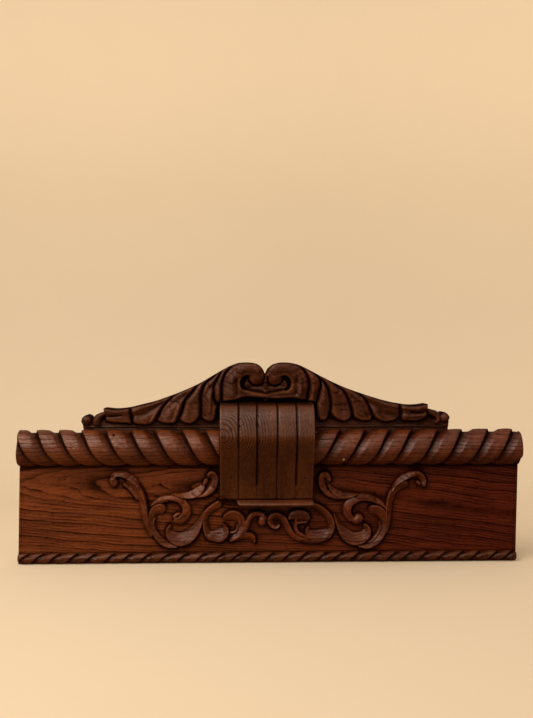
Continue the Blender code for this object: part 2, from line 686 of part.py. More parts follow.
def make_screw(name, x, z):
    """Slotted screw driven from the back, its slot turned by its place."""
    tip = SCREW_HEAD_Y - SCREW_LEN
    screw = part(turned(name, [
        (0.0, tip), (SCREW_R * 0.55, tip + 2.0), (SCREW_R, tip + 5.0),
        (SCREW_R, SCREW_HEAD_Y - 2.6), (SCREW_HEAD_R, SCREW_HEAD_Y - 0.4),
        (SCREW_HEAD_R, SCREW_HEAD_Y), (0.0, SCREW_HEAD_Y)],
        x, z, SCREW_SIDES), "iron")
    angle = math.radians((x * 7 + z * 13) % 180)
    slot = box(name + "_slot", (-SLOT_LENGTH / 2, SLOT_LENGTH / 2),
               (-SLOT_WIDTH / 2, SLOT_WIDTH / 2), (-SLOT_DEPTH, SLOT_DEPTH))
    slot.data.transform(shift(x, SCREW_HEAD_Y, z)
                        @ Matrix.Rotation(-math.pi / 2, 4, "X")
                        @ Matrix.Rotation(angle, 4, "Z"))
    boolean(screw, tool(slot))


def make_dowels():
    """Upright dowels in the joint between the boards."""
    for i, x in enumerate(DOWELS_X, start=1):
        part(cylinder(f"crest_dowel_{i}", (x, DOWEL_Y, FRIEZE_TOP), DOWEL_LEN,
                      DOWEL_R, DOWEL_SIDES), "oak_plain")


def make_brad(name, x, z, y_head, y_point):
    part(turned(name, [
        (0.0, y_head), (BRAD_HEAD_R, y_head), (BRAD_HEAD_R, y_head + BRAD_HEAD_T),
        (BRAD_R, y_head + BRAD_NECK), (BRAD_R, y_point - BRAD_POINT),
        (0.0, y_point)], x, z, BRAD_SIDES), "iron")


# -------------------------------------------------------------------- assembly
frieze_board = make_frieze()
joint_holes = make_dowel_holes()
boolean(frieze_board, joint_holes)
make_crest(joint_holes)
make_upper_ropes()
make_bead()
make_corbel()
make_fillet()
make_scrolls()
for batten_side, (batten_x, batten_top, _) in BATTENS.items():
    make_batten(batten_side, batten_x, batten_top)
for _, screw_name, screw_x, screw_z in SCREWS:
    make_screw(screw_name, screw_x, screw_z)
make_dowels()
for brad_name, brad in BRADS.items():
    make_brad(brad_name, *brad)
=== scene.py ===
"""A carved oak pediment: frieze board, crest, corbel, wound ropes and applied scrolls.

It stands upright on z = 0 with its width along x and its carved face towards -y; left is -x.
The carving is worked out in millimetres in the CAD frame, the stage in metres.  A piece's
"proud" is how far its surface stands forward, towards -y, of the plane it is set on.
Two point attributes drive the finish: the first marks painted shade, with some dirt, in
hollows, grooves and under overhangs; wear marks rubbed edges.
"""

import math
import bmesh
import bpy
import numpy as np
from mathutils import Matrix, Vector

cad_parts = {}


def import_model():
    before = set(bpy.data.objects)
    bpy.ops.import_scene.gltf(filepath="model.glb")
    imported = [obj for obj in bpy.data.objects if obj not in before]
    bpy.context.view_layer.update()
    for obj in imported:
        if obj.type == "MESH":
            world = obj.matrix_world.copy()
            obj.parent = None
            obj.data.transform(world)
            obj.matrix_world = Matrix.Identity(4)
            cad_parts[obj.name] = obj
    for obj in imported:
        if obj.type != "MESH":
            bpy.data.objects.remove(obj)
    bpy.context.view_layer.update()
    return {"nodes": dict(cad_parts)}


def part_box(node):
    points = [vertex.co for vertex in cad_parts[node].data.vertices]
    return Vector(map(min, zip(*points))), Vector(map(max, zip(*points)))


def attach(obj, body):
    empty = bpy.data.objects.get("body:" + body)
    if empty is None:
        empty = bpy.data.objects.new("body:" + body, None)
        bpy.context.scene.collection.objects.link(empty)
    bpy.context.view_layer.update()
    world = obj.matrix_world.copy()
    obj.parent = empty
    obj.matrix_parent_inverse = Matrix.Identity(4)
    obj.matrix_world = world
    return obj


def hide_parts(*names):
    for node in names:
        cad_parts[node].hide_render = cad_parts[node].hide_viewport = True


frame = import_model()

MM = 0.001
FRONT = -10.0                  # y of the frieze board's face
FACE = -10.3                   # y where applied pieces are bedded
BACK = 10.0                    # y of the frieze board's back


def box_mm(node):
    """The (low, high) pairs of a CAD piece along x, y and z, in mm."""
    low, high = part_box(node)
    return [(a * 1000, b * 1000) for a, b in zip(low, high)]


# ---------------------------------------------------------------- small maths
def unit(value):
    return np.clip(value, 0, 1)


def smooth(start, end, value):
    share = unit((value - start) / (end - start))
    return share * share * (3 - 2 * share)


def bell(distance, width):
    return np.exp(-(distance / width) ** 2)


def arris(distance, reach):
    """1 on an edge, easing to 0 at reach from it."""
    return unit(1 - distance / reach) ** 2


def dome(radial):
    """Half-round section: 1 in the middle, 0 from radial = 1 outwards."""
    return np.sqrt(unit(1 - radial ** 2))


def quarter_round(share):
    return np.sqrt(1 - (1 - unit(share)) ** 2)


def spaced(start, end, margins, count):
    """Even samples between the last margins, with closer ones at both ends."""
    near, last = np.array(margins[:-1]), margins[-1]
    return np.concatenate([start + near, np.linspace(start + last, end - last, count),
                           end - near[::-1]])


def spline(points, step):
    """Catmull-Rom run through points of any width, a sample about every step mm."""
    points = np.array(points, float)
    points = np.concatenate([[2 * points[0] - points[1]], points,
                             [2 * points[-1] - points[-2]]])
    out = []
    for before, here, after, beyond in zip(points, points[1:], points[2:], points[3:]):
        count = max(1, int(round(np.linalg.norm(after[:2] - here[:2]) / step)))
        for k in range(count):
            t = k / count
            out.append(0.5 * (2 * here + (after - before) * t
                              + (2 * before - 5 * here + 4 * after - beyond) * t * t
                              + (3 * here - before - 3 * after + beyond) * t ** 3))
    out.append(points[-2])
    return np.array(out)


def tangents(run):
    tangent = np.gradient(run[:, :2], axis=0)
    return tangent / (np.linalg.norm(tangent, axis=1)[:, None] + 1e-9)


class Noise:
    """Seeded smooth value noise on a wrapped lattice, between -1 and 1."""

    def __init__(self, seed):
        self.table = np.random.RandomState(seed).rand(128, 128) * 2 - 1

    def __call__(self, x, y, octaves=1):
        total, weight, weights = 0.0, 1.0, 0.0
        for _ in range(octaves):
            total = total + weight * self.layer(x, y)
            weights += weight
            x, y, weight = x * 2.03 + 17.1, y * 2.03 + 5.7, weight * 0.5
        return total / weights

    def layer(self, x, y):
        x, y = np.broadcast_arrays(np.asarray(x, float), np.asarray(y, float))
        i, j = np.floor(x).astype(int), np.floor(y).astype(int)
        x, y = x - i, y - j
        x, y = x * x * (3 - 2 * x), y * y * (3 - 2 * y)
        i_next, j_next = (i + 1) % 128, (j + 1) % 128
        i, j = i % 128, j % 128
        table = self.table
        below = table[j, i] * (1 - x) + table[j, i_next] * x
        above = table[j_next, i] * (1 - x) + table[j_next, i_next] * x
        return below * (1 - y) + above * y


def blur(field, mask, sigma):
    """Gaussian blur of a grid field, counting only cells inside the mask."""
    half = max(1, int(math.ceil(sigma * 2.5)))
    kernel = np.exp(-0.5 * (np.arange(-half, half + 1) / sigma) ** 2)
    kernel /= kernel.sum()

    def run(values):
        for axis in (0, 1):
            pad = [(half, half) if k == axis else (0, 0) for k in (0, 1)]
            padded = np.pad(values, pad, mode="edge")
            total = np.zeros_like(values)
            for k, weight in enumerate(kernel):
                window = np.arange(k, k + values.shape[axis])
                total += weight * np.take(padded, window, axis=axis)
            values = total
        return values

    mask = mask.astype(float)
    return run(field * mask) / np.maximum(run(mask), 1e-6)


def near_run(x, z, run, reach):
    """Grid points within reach of a run's bounding box."""
    run_x, run_z = run[:, 0], run[:, 1]
    return ((x > run_x.min() - reach) & (x < run_x.max() + reach)
            & (z > run_z.min() - reach) & (z < run_z.max() + reach))


def segment_distance(x, z, run, reach):
    """Distance from grid points to a polyline, exact within reach."""
    out = np.full(x.shape, 1e3)
    near = near_run(x, z, run, reach)
    x, z = x[near], z[near]
    best = np.full(x.shape, 1e6)
    for i in range(len(run) - 1):
        ax, az = run[i, 0], run[i, 1]
        step_x, step_z = run[i + 1, 0] - ax, run[i + 1, 1] - az
        square = step_x * step_x + step_z * step_z + 1e-9
        t = unit(((x - ax) * step_x + (z - az) * step_z) / square)
        np.minimum(best, (x - ax - t * step_x) ** 2 + (z - az - t * step_z) ** 2, out=best)
    out[near] = np.sqrt(best)
    return out


def inside(x, z, polygon):
    """Even-odd point in polygon."""
    result = np.zeros(x.shape, bool)
    for (x0, z0), (x1, z1) in zip(polygon, np.roll(polygon, -1, axis=0)):
        if z0 == z1:
            continue
        crossing = (z < z0) != (z < z1)
        result ^= crossing & (x < (x1 - x0) * (z - z0) / (z1 - z0) + x0)
    return result


def stroke_field(x, z, run, step=0.7, margin=3.0):
    """Fields of a tapering stroke at grid points, from its nearest sample.

    They are the gap to its edge, the side (-1 right of travel, 1 left), the radial
    share, and the fourth number carried along the run, if it has one.
    """
    run = spline(run, step)
    run[:, 2] = np.maximum(run[:, 2], 0.4)
    if run.shape[1] < 4:
        run = np.concatenate([run, np.zeros((len(run), 1))], 1)
    near = near_run(x, z, run, run[:, 2].max() + margin)
    out = [np.full(x.shape, far) for far in (1e3, 0.0, 9.0, 0.0)]
    x, z = x[near], z[near]
    gap = np.full(x.shape, 1e6)
    side, radial, carried = (np.zeros(x.shape) for _ in range(3))
    for (at_x, at_z, half, value), (tan_x, tan_z) in zip(run, tangents(run)):
        dx, dz = x - at_x, z - at_z
        distance = np.sqrt(dx * dx + dz * dz)
        hit = distance - half < gap
        gap[hit] = (distance - half)[hit]
        side[hit] = np.clip((-tan_z * dx + tan_x * dz) / half, -1, 1)[hit]
        radial[hit] = (distance / half)[hit]
        carried[hit] = value
    for field, values in zip(out, (gap, side, radial, carried)):
        field[near] = values
    return out


# ------------------------------------------------------------- mesh building
def new_mesh(name, verts, faces, attrs):
    """Mesh from points in mm, with float attributes on the points."""
    mesh = bpy.data.meshes.new(name)
    mesh.from_pydata((verts * MM).tolist(), [], faces)
    for key, values in attrs.items():
        layer = mesh.attributes.new(key, "FLOAT", "POINT")
        layer.data.foreach_set("value", np.asarray(values, np.float32))
    mesh.update()
    return mesh


def new_object(name, mesh, sharp=None):
    """Smooth shaded object; edges over sharp degrees stay crisp."""
    mesh.shade_smooth()
    if sharp:
        mesh.set_sharp_from_angle(angle=math.radians(sharp))
    obj = bpy.data.objects.new(name, mesh)
    bpy.context.scene.collection.objects.link(obj)
    return obj


def loft(name, rings, attrs, sharp, upward=False):
    """Closed solid through equal rings that run along +x, or along +z if upward.

    A ring along x goes up the front of the section and down its back.
    """
    count, around, _ = rings.shape
    index = np.arange(count * around).reshape(count, around)
    a, b = index[:-1], index[1:]
    a_next, b_next = np.roll(a, -1, axis=1), np.roll(b, -1, axis=1)
    corners = [a, a_next, b_next, b] if upward else [a, b, b_next, a_next]
    faces = np.stack(corners, axis=-1).reshape(-1, 4).tolist()
    turn = -1 if upward else 1
    faces.append(index[0][::turn].tolist())
    faces.append(index[-1][::-turn].tolist())
    attrs = {key: values.reshape(-1) for key, values in attrs.items()}
    return new_object(name, new_mesh(name, rings.reshape(-1, 3), faces, attrs), sharp)


def backed_loft(name, x, y, z, back_z, painted_shade_dirt, wear, sharp):
    """Loft of a carved front, closed by a flat back at FACE with rows at back_z."""
    back_x = np.repeat(x[:, :1], back_z.shape[-1], axis=1)
    shape = back_x.shape
    pairs = (x, back_x), (y, np.full(shape, FACE)), (z, np.broadcast_to(back_z, shape))
    rings = np.stack([np.concatenate(pair, 1) for pair in pairs], axis=-1)
    plain = np.zeros(shape)
    attrs = {"painted_shade_dirt": np.concatenate([painted_shade_dirt, plain], 1), "wear": np.concatenate([wear, plain], 1)}
    return loft(name, rings, attrs, sharp)


def relief(name, x, z, sdf, proud, painted_shade_dirt, wear, y_face, y_back, sharp):
    """Closed solid over the grid cells where sdf < 0, its front carved to proud."""
    fields = np.stack([x, y_face - proud, z, painted_shade_dirt, wear], axis=-1)
    within = sdf < 0
    index = np.full(sdf.shape, -1)
    index[within] = np.arange(within.sum())
    tables = [fields[within]]

    def crossings(low, high):
        """Add a point where the outline crosses each grid edge; return their numbers."""
        hit = within[low] != within[high]
        start, end = sdf[low][hit], sdf[high][hit]
        share = np.clip(start / (start - end), 0.02, 0.98)[:, None]
        number = np.full(hit.shape, -1)
        number[hit] = sum(map(len, tables)) + np.arange(hit.sum())
        tables.append(fields[low][hit] * (1 - share) + fields[high][hit] * share)
        return number

    across = crossings(np.s_[:, :-1], np.s_[:, 1:])
    upward = crossings(np.s_[:-1], np.s_[1:])
    table = np.concatenate(tables)
    corners = np.stack([index[:-1, :-1], index[:-1, 1:], index[1:, 1:], index[1:, :-1]],
                       axis=-1)
    edges = np.stack([across[:-1], upward[:, 1:], across[1:], upward[:, :-1]], axis=-1)
    full = (corners >= 0).all(axis=-1)
    faces = corners[full].tolist()
    rim = {}                    # each outline point and the one that follows it
    for j, i in zip(*np.nonzero((corners >= 0).any(axis=-1) & ~full)):
        corner, edge = corners[j, i], edges[j, i]
        polygon, leaving, first_entry = [], None, None
        for k in range(4):
            here, following = corner[k] >= 0, corner[(k + 1) % 4] >= 0
            if here:
                polygon.append(int(corner[k]))
            if here != following:
                point = int(edge[k])
                polygon.append(point)
                if here:
                    leaving = point
                elif leaving is None:
                    first_entry = point
                else:
                    rim[leaving] = point
                    leaving = None
        if leaving is not None:
            rim[leaving] = first_entry
        if len(polygon) > 2:
            faces.append(polygon)
    back_of = {point: len(table) + k for k, point in enumerate(rim)}
    back = table[list(rim)]
    back[:, 1] = y_back
    back[:, 3] = 0.10
    back[:, 4] = 0.0
    table = np.concatenate([table, back])
    for a, b in rim.items():
        faces.append([b, a, back_of[a], back_of[b]])
    mesh = new_mesh(name, table[:, :3], faces, {"painted_shade_dirt": table[:, 3], "wear": table[:, 4]})
    # close the back
    bm = bmesh.new()
    bm.from_mesh(mesh)
    bm.verts.ensure_lookup_table()
    outline = [bm.edges.get((bm.verts[back_of[a]], bm.verts[back_of[b]]))
               for a, b in rim.items()]
    made = bmesh.ops.triangle_fill(bm, edges=outline, use_beauty=False)
    for item in made["geom"]:
        if isinstance(item, bmesh.types.BMFace) and item.normal.y < 0:
            item.normal_flip()
    bm.to_mesh(mesh)
    bm.free()
    return new_object(name, mesh, sharp)


# ------------------------------------------------------------------ materials
class Tree:
    """Short hand for wiring the shader nodes of a material or world."""

    def __init__(self, owner):
        self.owner = owner
        owner.use_nodes = True
        self.nodes = owner.node_tree.nodes
        self.links = owner.node_tree.links

    def add(self, kind, **settings):
        node = self.nodes.new(kind)
        for key, value in settings.items():
            setattr(node, key, value)
        return node

    def put(self, socket, value):
        if isinstance(value, bpy.types.NodeSocket):
            self.links.new(value, socket)
        elif isinstance(value, tuple) and socket.type == "RGBA":
            socket.default_value = (*value, 1.0)
        else:
            socket.default_value = value

    def surface(self, name, value):
        self.put(self.nodes["Principled BSDF"].inputs[name], value)

    def coordinates(self, output="Object"):
        return self.add("ShaderNodeTexCoord").outputs[output]

    def maths(self, operation, a, b=0.5, clamp=False):
        node = self.add("ShaderNodeMath", operation=operation, use_clamp=clamp)
        self.put(node.inputs[0], a)
        self.put(node.inputs[1], b)
        return node.outputs[0]

    def plus(self, a, b):
        return self.maths("ADD", a, b)

    def minus(self, a, b, clamp=False):
        return self.maths("SUBTRACT", a, b, clamp)

    def times(self, a, b, clamp=False):
        return self.maths("MULTIPLY", a, b, clamp)

    def vector(self, operation, a, b):
        node = self.add("ShaderNodeVectorMath", operation=operation)
        self.put(node.inputs[0], a)
        self.put(node.inputs[1], b)
        return node.outputs[0]

    def millimetres(self, coord):
        return self.vector("MULTIPLY", coord, (1000.0, 1000.0, 1000.0))

    def split(self, vector):
        node = self.add("ShaderNodeSeparateXYZ")
        self.put(node.inputs[0], vector)
        return node.outputs

    def noise(self, vector, stretch=None, scale=1.0, detail=2.0, rough=0.5, colour=False):
        """Noise over vector, first multiplied by stretch if that is given."""
        if stretch:
            vector = self.vector("MULTIPLY", vector, stretch)
        node = self.add("ShaderNodeTexNoise")
        for key, value in (("Vector", vector), ("Scale", scale), ("Detail", detail),
                           ("Roughness", rough)):
            self.put(node.inputs[key], value)
        return node.outputs[1 if colour else 0]

    def ramp(self, factor, stops):
        node = self.add("ShaderNodeValToRGB")
        elements = node.color_ramp.elements
        while len(elements) < len(stops):
            elements.new(0.5)
        for element, (position, colour) in zip(elements, stops):
            element.position = position
            element.color = (*colour, 1.0)
        self.put(node.inputs[0], factor)
        return node.outputs[0]

    def ease(self, value, over, to=(0.0, 1.0)):
        """Smooth step of value from one range to another."""
        node = self.add("ShaderNodeMapRange", interpolation_type="SMOOTHSTEP")
        for socket, setting in zip(node.inputs, (value, *over, *to)):
            self.put(socket, setting)
        return node.outputs[0]

    def mix(self, factor, a, b, blend="MIX"):
        node = self.add("ShaderNodeMix", data_type="RGBA", blend_type=blend)
        self.put(node.inputs[0], factor)
        self.put(node.inputs[6], a)
        self.put(node.inputs[7], b)
        return node.outputs[2]

    def mix_output(self, factor, a, b, output):
        """Send a mix of two shaders to the output node."""
        node = self.add("ShaderNodeMixShader")
        for socket, value in zip(node.inputs, (factor, a, b)):
            self.put(socket, value)
        self.links.new(node.outputs[0], self.nodes[output].inputs["Surface"])

    def attribute(self, name):
        return self.add("ShaderNodeAttribute", attribute_name=name).outputs["Fac"]

    def bump(self, height, strength, distance):
        node = self.add("ShaderNodeBump")
        self.put(node.inputs["Strength"], strength)
        self.put(node.inputs["Distance"], distance)
        self.put(node.inputs["Height"], height)
        self.surface("Normal", node.outputs[0])


def oak(name, pith, spacing, wander, dark, mid, light, rough, gloss, grain="X",
        tilt=0.0, level_after=1e4, drop=0.0, dip=None, flat=1.0, fade=None,
        fine_lines=1.0, figure=1.0, shift=0.0, seed=0.0, carved=True,
        worn=(0.190, 0.058, 0.018)):
    """Flat-sawn oak: growth layers about a pith line, pores, flecks, wax.

    grain is the way the fibres run; pith is a point on the pith line in mm, spacing
    the layers' pitch in mm and wander how far they stray.  tilt is how fast the pith
    line rises towards the board's face, as far as level_after, and drop how fast it
    sinks; together they draw the cathedrals.  dip=(start, slope) makes it sink faster
    beyond start.  flat squeezes the layers into ovals.  fade=(near, far, least)
    weakens them from one distance off the pith to another.  fine_lines and figure
    are the strength of the thin lines and of all the layers; shift darkens the
    colour towards +x.
    """
    t = Tree(bpy.data.materials.new(name))
    coord = t.coordinates()
    p = t.millimetres(coord)
    if grain == "Z":            # turn so that the fibres always run along x
        x, y, z = t.split(p)
        turned = t.add("ShaderNodeCombineXYZ")
        for socket, value in zip(turned.inputs, (z, y, x)):
            t.put(socket, value)
        p = turned.outputs[0]
    own = t.vector("ADD", p, (seed * 37.0, seed * 11.0, seed * 23.0))

    def stray(stretch, deep_mm, across_mm):
        """Noise vector that moves the layers square to the fibres."""
        offset = t.noise(own, stretch, colour=True)
        offset = t.vector("SUBTRACT", offset, (0.5, 0.5, 0.5))
        return t.vector("MULTIPLY", offset, (0.0, deep_mm * wander, across_mm * wander))

    slow = stray((0.0100, 0.020, 0.030), deep_mm=14.0, across_mm=22.0)
    small = stray((0.050, 0.060, 0.090), deep_mm=3.4, across_mm=4.0)
    along, deep, across = t.split(t.vector("ADD", t.vector("ADD", p, slow), small))

    # distance from the pith line, counted in growth layers
    run = t.minus(along, pith[0])
    lean = t.times(t.maths("MINIMUM", run, level_after), tilt)
    from_pith_y = t.minus(t.plus(deep, lean), pith[1])
    from_pith_z = t.minus(t.plus(across, t.times(run, drop)), pith[2])
    if dip:
        past = t.maths("MAXIMUM", t.minus(along, dip[0]), 0.0)
        from_pith_z = t.plus(from_pith_z, t.times(past, dip[1]))
    if flat != 1.0:
        from_pith_z = t.times(from_pith_z, flat)
    radius = t.maths("SQRT", t.plus(t.times(from_pith_y, from_pith_y),
                                    t.times(from_pith_z, from_pith_z)))
    ring = t.maths("DIVIDE", radius, spacing)

    def line(value, width):
        """1 where early wood starts, fading fast one way and slower the other."""
        stops = [(0.0, 1), (0.30 * width, 0.55), (0.75 * width, 0.10),
                 (min(0.95, 1.6 * width), 0.0), (0.955, 0.0), (1.0, 1)]
        return t.ramp(t.maths("FRACT", value), [(at, (level,) * 3) for at, level in stops])

    # early wood: one broad line a layer, and three thin ones that come and go
    major = line(ring, width=0.42)
    minor = line(t.times(ring, 3.0), width=0.55)
    patch = t.noise(own, (0.012, 0.05, 0.06), detail=1.0)
    strength = t.ease(patch, over=(0.30, 0.62), to=(0.55, 1.0))
    weak = t.noise(own, (0.020, 0.09, 0.12), detail=1.0)
    minor = t.times(minor, t.ease(weak, over=(0.38, 0.64), to=(0.22, 0.80)))
    early = t.maths("MAXIMUM", t.times(major, strength), t.times(minor, fine_lines))
    if fade:
        early = t.times(early, t.ease(radius, over=fade[:2], to=(1.0, fade[2])))

    # fibres, pores that crowd into the early wood, ray flecks, stain and streaks
    fibre = t.noise(own, (0.045, 1.00, 1.25), detail=3.0, rough=0.65)
    pores = t.noise(own, (0.13, 1.6, 1.9), detail=1.0)
    pore_cut = t.minus(0.645, t.times(early, 0.115))
    pores = t.ease(t.minus(pores, pore_cut), over=(0.0, 0.055))
    flecks = t.ease(t.noise(own, (0.10, 0.9, 0.22), detail=1.0), over=(0.66, 0.74))
    stain = t.noise(own, (0.011, 0.03, 0.026), detail=3.0, rough=0.55)
    streak = t.noise(own, (0.012, 0.28, 0.34))

    # colour: the last factor in each mix is that feature's strength
    tone = t.plus(t.times(stain, 0.6), t.times(streak, 0.4))
    body = t.mix(t.ease(tone, over=(0.33, 0.67)), mid, light)
    body = t.mix(t.times(early, 0.98 * figure, clamp=True), body, dark)
    body = t.mix(t.times(t.ease(fibre, over=(0.42, 0.75)), 0.45), body, dark)
    body = t.mix(t.times(flecks, 0.14), body, worn)
    body = t.mix(t.times(pores, 0.70), body, tuple(0.30 * c for c in dark))
    if shift:                   # the colour darkens from left to right
        side = t.ease(t.split(coord)[0], over=(-0.30, 0.34))
        body = t.mix(t.times(side, shift), body,
                     t.mix(1.0, body, (0.48, 0.19, 0.06), "MULTIPLY"))
    rough_out = t.plus(rough, t.times(fibre, 0.16))

    # wax shines between the open early wood and pores
    open_grain = t.maths("MAXIMUM", t.times(early, 0.97), t.times(pores, 0.85))
    sheen = t.times(t.minus(1.0, open_grain, clamp=True), gloss)
    sheen = t.times(sheen, t.ease(fibre, over=(0.35, 0.70), to=(1.25, 0.60)))
    if carved:                  # painted shade and dirt in hollows, grooves and under overhangs; rubbed and chipped edges
        painted_shade_dirt = t.attribute("painted_shade_dirt")
        wear = t.attribute("wear")
        painted_shade_grime = t.times(t.ease(painted_shade_dirt, over=(0.02, 0.85)), 0.90, clamp=True)
        # the near-black colour is painted shade, with some dirt
        body = t.mix(painted_shade_grime, body, (0.0048, 0.0014, 0.0004))
        patch = t.noise(p, scale=0.09, detail=3.0, rough=0.6)
        rubbed = t.times(t.ease(wear, over=(0.15, 0.9)),
                         t.ease(patch, over=(0.36, 0.62), to=(0.20, 0.75)), clamp=True)
        body = t.mix(t.times(rubbed, 0.38), body, worn)
        body = t.mix(t.ease(wear, over=(1.15, 1.7)), body, (0.42, 0.25, 0.13))
        sheen = t.times(sheen, t.minus(1.0, t.times(painted_shade_grime, 1.05), clamp=True))
    t.surface("Base Color", body)
    t.surface("Roughness", rough_out)
    t.surface("Specular IOR Level", sheen)
    height = t.plus(t.times(pores, -1.0), t.times(early, -0.5))
    height = t.plus(height, t.times(fibre, 0.6))
    t.bump(height, strength=0.7, distance=0.00028)
    return t.owner


def iron():
    """Dark iron with rust patches that are rougher and less metallic."""
    t = Tree(bpy.data.materials.new("iron_fixings"))
    p = t.millimetres(t.coordinates())
    rust = t.noise(p, scale=0.55, detail=4.0, rough=0.65)
    scale = t.noise(p, scale=2.6, detail=3.0, rough=0.6)
    t.surface("Base Color", t.ramp(rust, [(0.35, (0.030, 0.026, 0.024)),
                                          (0.55, (0.055, 0.034, 0.022)),
                                          (0.72, (0.130, 0.048, 0.018))]))
    t.surface("Metallic", t.ease(rust, over=(0.45, 0.65), to=(0.85, 0.15)))
    t.surface("Roughness", t.ease(scale, over=(0.3, 0.7), to=(0.42, 0.78)))
    t.bump(scale, strength=0.5, distance=0.0002)
    return t.owner


FRIEZE_OAK = oak("oak_frieze", pith=(-262.0, 23.0, 108.0), tilt=0.085, level_after=250.0,
                 drop=0.035, spacing=10.4, wander=0.5, fine_lines=1.25, dip=(95.0, 0.095),
                 shift=0.9, rough=0.38, gloss=0.12, dark=(0.0120, 0.0028, 0.0006),
                 mid=(0.082, 0.0170, 0.0032), light=(0.158, 0.0370, 0.0075))
ROPE_OAK = oak("oak_rope", pith=(0.0, 10.0, -150.0), spacing=5.2, wander=0.5, rough=0.26,
               figure=0.62, shift=0.55, seed=2.0, gloss=0.38, dark=(0.0150, 0.0034, 0.0007),
               mid=(0.064, 0.0128, 0.0018), light=(0.128, 0.0290, 0.0048))
BEAD_OAK = oak("oak_bead", pith=(0.0, 30.0, 20.0), spacing=6.0, wander=0.5, rough=0.26,
               figure=0.7, shift=0.4, seed=5.0, gloss=0.24, dark=(0.0150, 0.0034, 0.0007),
               mid=(0.040, 0.0086, 0.0014), light=(0.078, 0.0180, 0.0032))
CREST_OAK = oak("oak_crest", pith=(0.0, 60.0, 190.0), tilt=0.03, spacing=9.0, wander=0.8,
                rough=0.34, figure=0.8, shift=0.5, seed=9.0, gloss=0.21,
                dark=(0.0110, 0.0026, 0.0006), mid=(0.036, 0.0082, 0.0015),
                light=(0.078, 0.0185, 0.0036))
CORBEL_OAK = oak("oak_corbel", grain="Z", pith=(187.0, -65.0, -66.0), tilt=-0.06,
                 spacing=1.40, wander=0.16, flat=0.37, rough=0.27, seed=3.0,
                 fine_lines=0.10, fade=(17.0, 27.0, 0.36), gloss=0.34,
                 dark=(0.0080, 0.0020, 0.0005), mid=(0.044, 0.0102, 0.0016),
                 light=(0.080, 0.0195, 0.0030))
SCROLL_OAK = oak("oak_scroll", pith=(0.0, 40.0, 60.0), spacing=9.0, wander=0.7,
                 rough=0.26, figure=0.6, shift=0.5, seed=7.0, gloss=0.30,
                 dark=(0.0120, 0.0026, 0.0006), mid=(0.056, 0.0112, 0.0015),
                 light=(0.138, 0.0300, 0.0046))
BARE_OAK = oak("oak_bare", grain="Z", pith=(0.0, 60.0, 30.0), spacing=8.0, wander=0.8,
               rough=0.62, carved=False, seed=11.0, gloss=0.2,
               dark=(0.090, 0.048, 0.024), mid=(0.190, 0.112, 0.060),
               light=(0.290, 0.185, 0.105), worn=(0.36, 0.25, 0.16))
IRON = iron()


def finish(obj, material, node):
    """Give a piece its material and let it stand in for its CAD node."""
    obj.data.materials.append(material)
    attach(obj, "root")
    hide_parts(node)


# --------------------------------------------------------------- frieze board
HALF_BOARD = 340.0              # half width of the board at its top


def frieze_board():
    top = box_mm("frieze_board")[2][1]
    noise = Noise(21)
    # rows up the front, then a few of them again down the back
    edge = np.array([0.0, 0.35, 1.1])
    front_z = np.concatenate([edge, np.linspace(2.4, 130.0, 118),
                              np.linspace(133.0, top - 2.4, 14), top - edge[::-1]])
    rows = len(front_z)
    inset = np.zeros(rows)
    inset[:3] = 1.15, 0.42, 0.10
    inset[-3:] = 0.10, 0.42, 1.15
    again = np.concatenate([[rows - 1, rows - 2], np.arange(rows - 8, 4, -9), [1, 0]])
    z = np.concatenate([front_z, front_z[again]])
    inset = np.concatenate([inset, inset[again]])
    front = np.arange(len(z)) < rows
    along = spaced(0.0, 1.0, (0.0, 0.0007, 0.002, 0.0042), 560)[:, None]
    left = -HALF_BOARD - 2.5 * (1 - z / top)
    right = HALF_BOARD - 4.5 * (1 - z / top)
    x = left * (1 - along) + right * along
    z = np.broadcast_to(z, x.shape)
    wave = 0.16 * noise(x / 55, z / 30) + 0.06 * noise(x / 40, z / 2.6, 2)
    end = np.minimum(along, 1 - along) * 2 * HALF_BOARD
    ease = 1.1 * arris(end, 1.6)
    y = np.where(front, FRONT + inset + ease + wave,
                 BACK - inset - ease - np.abs(wave) * 0.5)
    # scribed line a few millimetres in from each end
    for offset in (x - left - 3.4, right - x - 3.8):
        y = y + np.where(front, 0.5 * bell(offset, 0.6), 0.0)
    # small dents and worm holes in the face
    random = np.random.RandomState(5)
    pits = np.zeros_like(x)
    for _ in range(40):
        pit_x, pit_z = random.uniform(-335, 335), random.uniform(18, 126)
        radius = random.uniform(0.6, 1.2)
        pits += np.exp(-(((x - pit_x) / radius / 1.6) ** 2 + ((z - pit_z) / radius) ** 2)) \
            * random.uniform(0.2, 0.6)
    # rough patch where the end of the fillet has broken away
    scar = smooth(-71, -68.5, x) * smooth(-46.5, -50, x) \
        * smooth(76.5, 79, z) * smooth(89, 87, z)
    rough = noise(x / 1.9, z / 1.7, 2)
    y = y + np.where(front, pits - scar * (0.5 + 0.6 * rough), 0.0)
    # painted shade on the face: shadow and dirt round the scrolls, shadows of the ropes and
    # under the corbel's foot, shade in the scribed lines and pits; the broken patch is darker
    # in itself
    painted_shade_grime = np.zeros_like(x)
    painted_shade_grime[:, :rows] = painted_shade_grime_round_scrolls(x[:, :rows], z[:, :rows])
    painted_shade_dirt = np.where(front, 0.62 * bell(z - 14.6, 2.0)        # painted shade in the corner over the lower rope
                   + 0.85 * smooth(125.0, 133.0, z)         # painted shadow under the upper ropes
                   + 0.40 * bell(end - 4, 0.8)
                   + 0.9 * pits + 0.80 * painted_shade_grime
                   + scar * (0.40 + 0.35 * rough)
                   + 0.30 * smooth(8, 2, np.abs(x + 7) - 62)
                   * smooth(76, 90, z), 0.15)
    obj = loft("frieze_board_old", np.stack([x, y, z], axis=-1),
               {"painted_shade_dirt": unit(painted_shade_dirt), "wear": np.zeros_like(painted_shade_dirt)}, sharp=50)
    finish(obj, FRIEZE_OAK, "frieze_board")


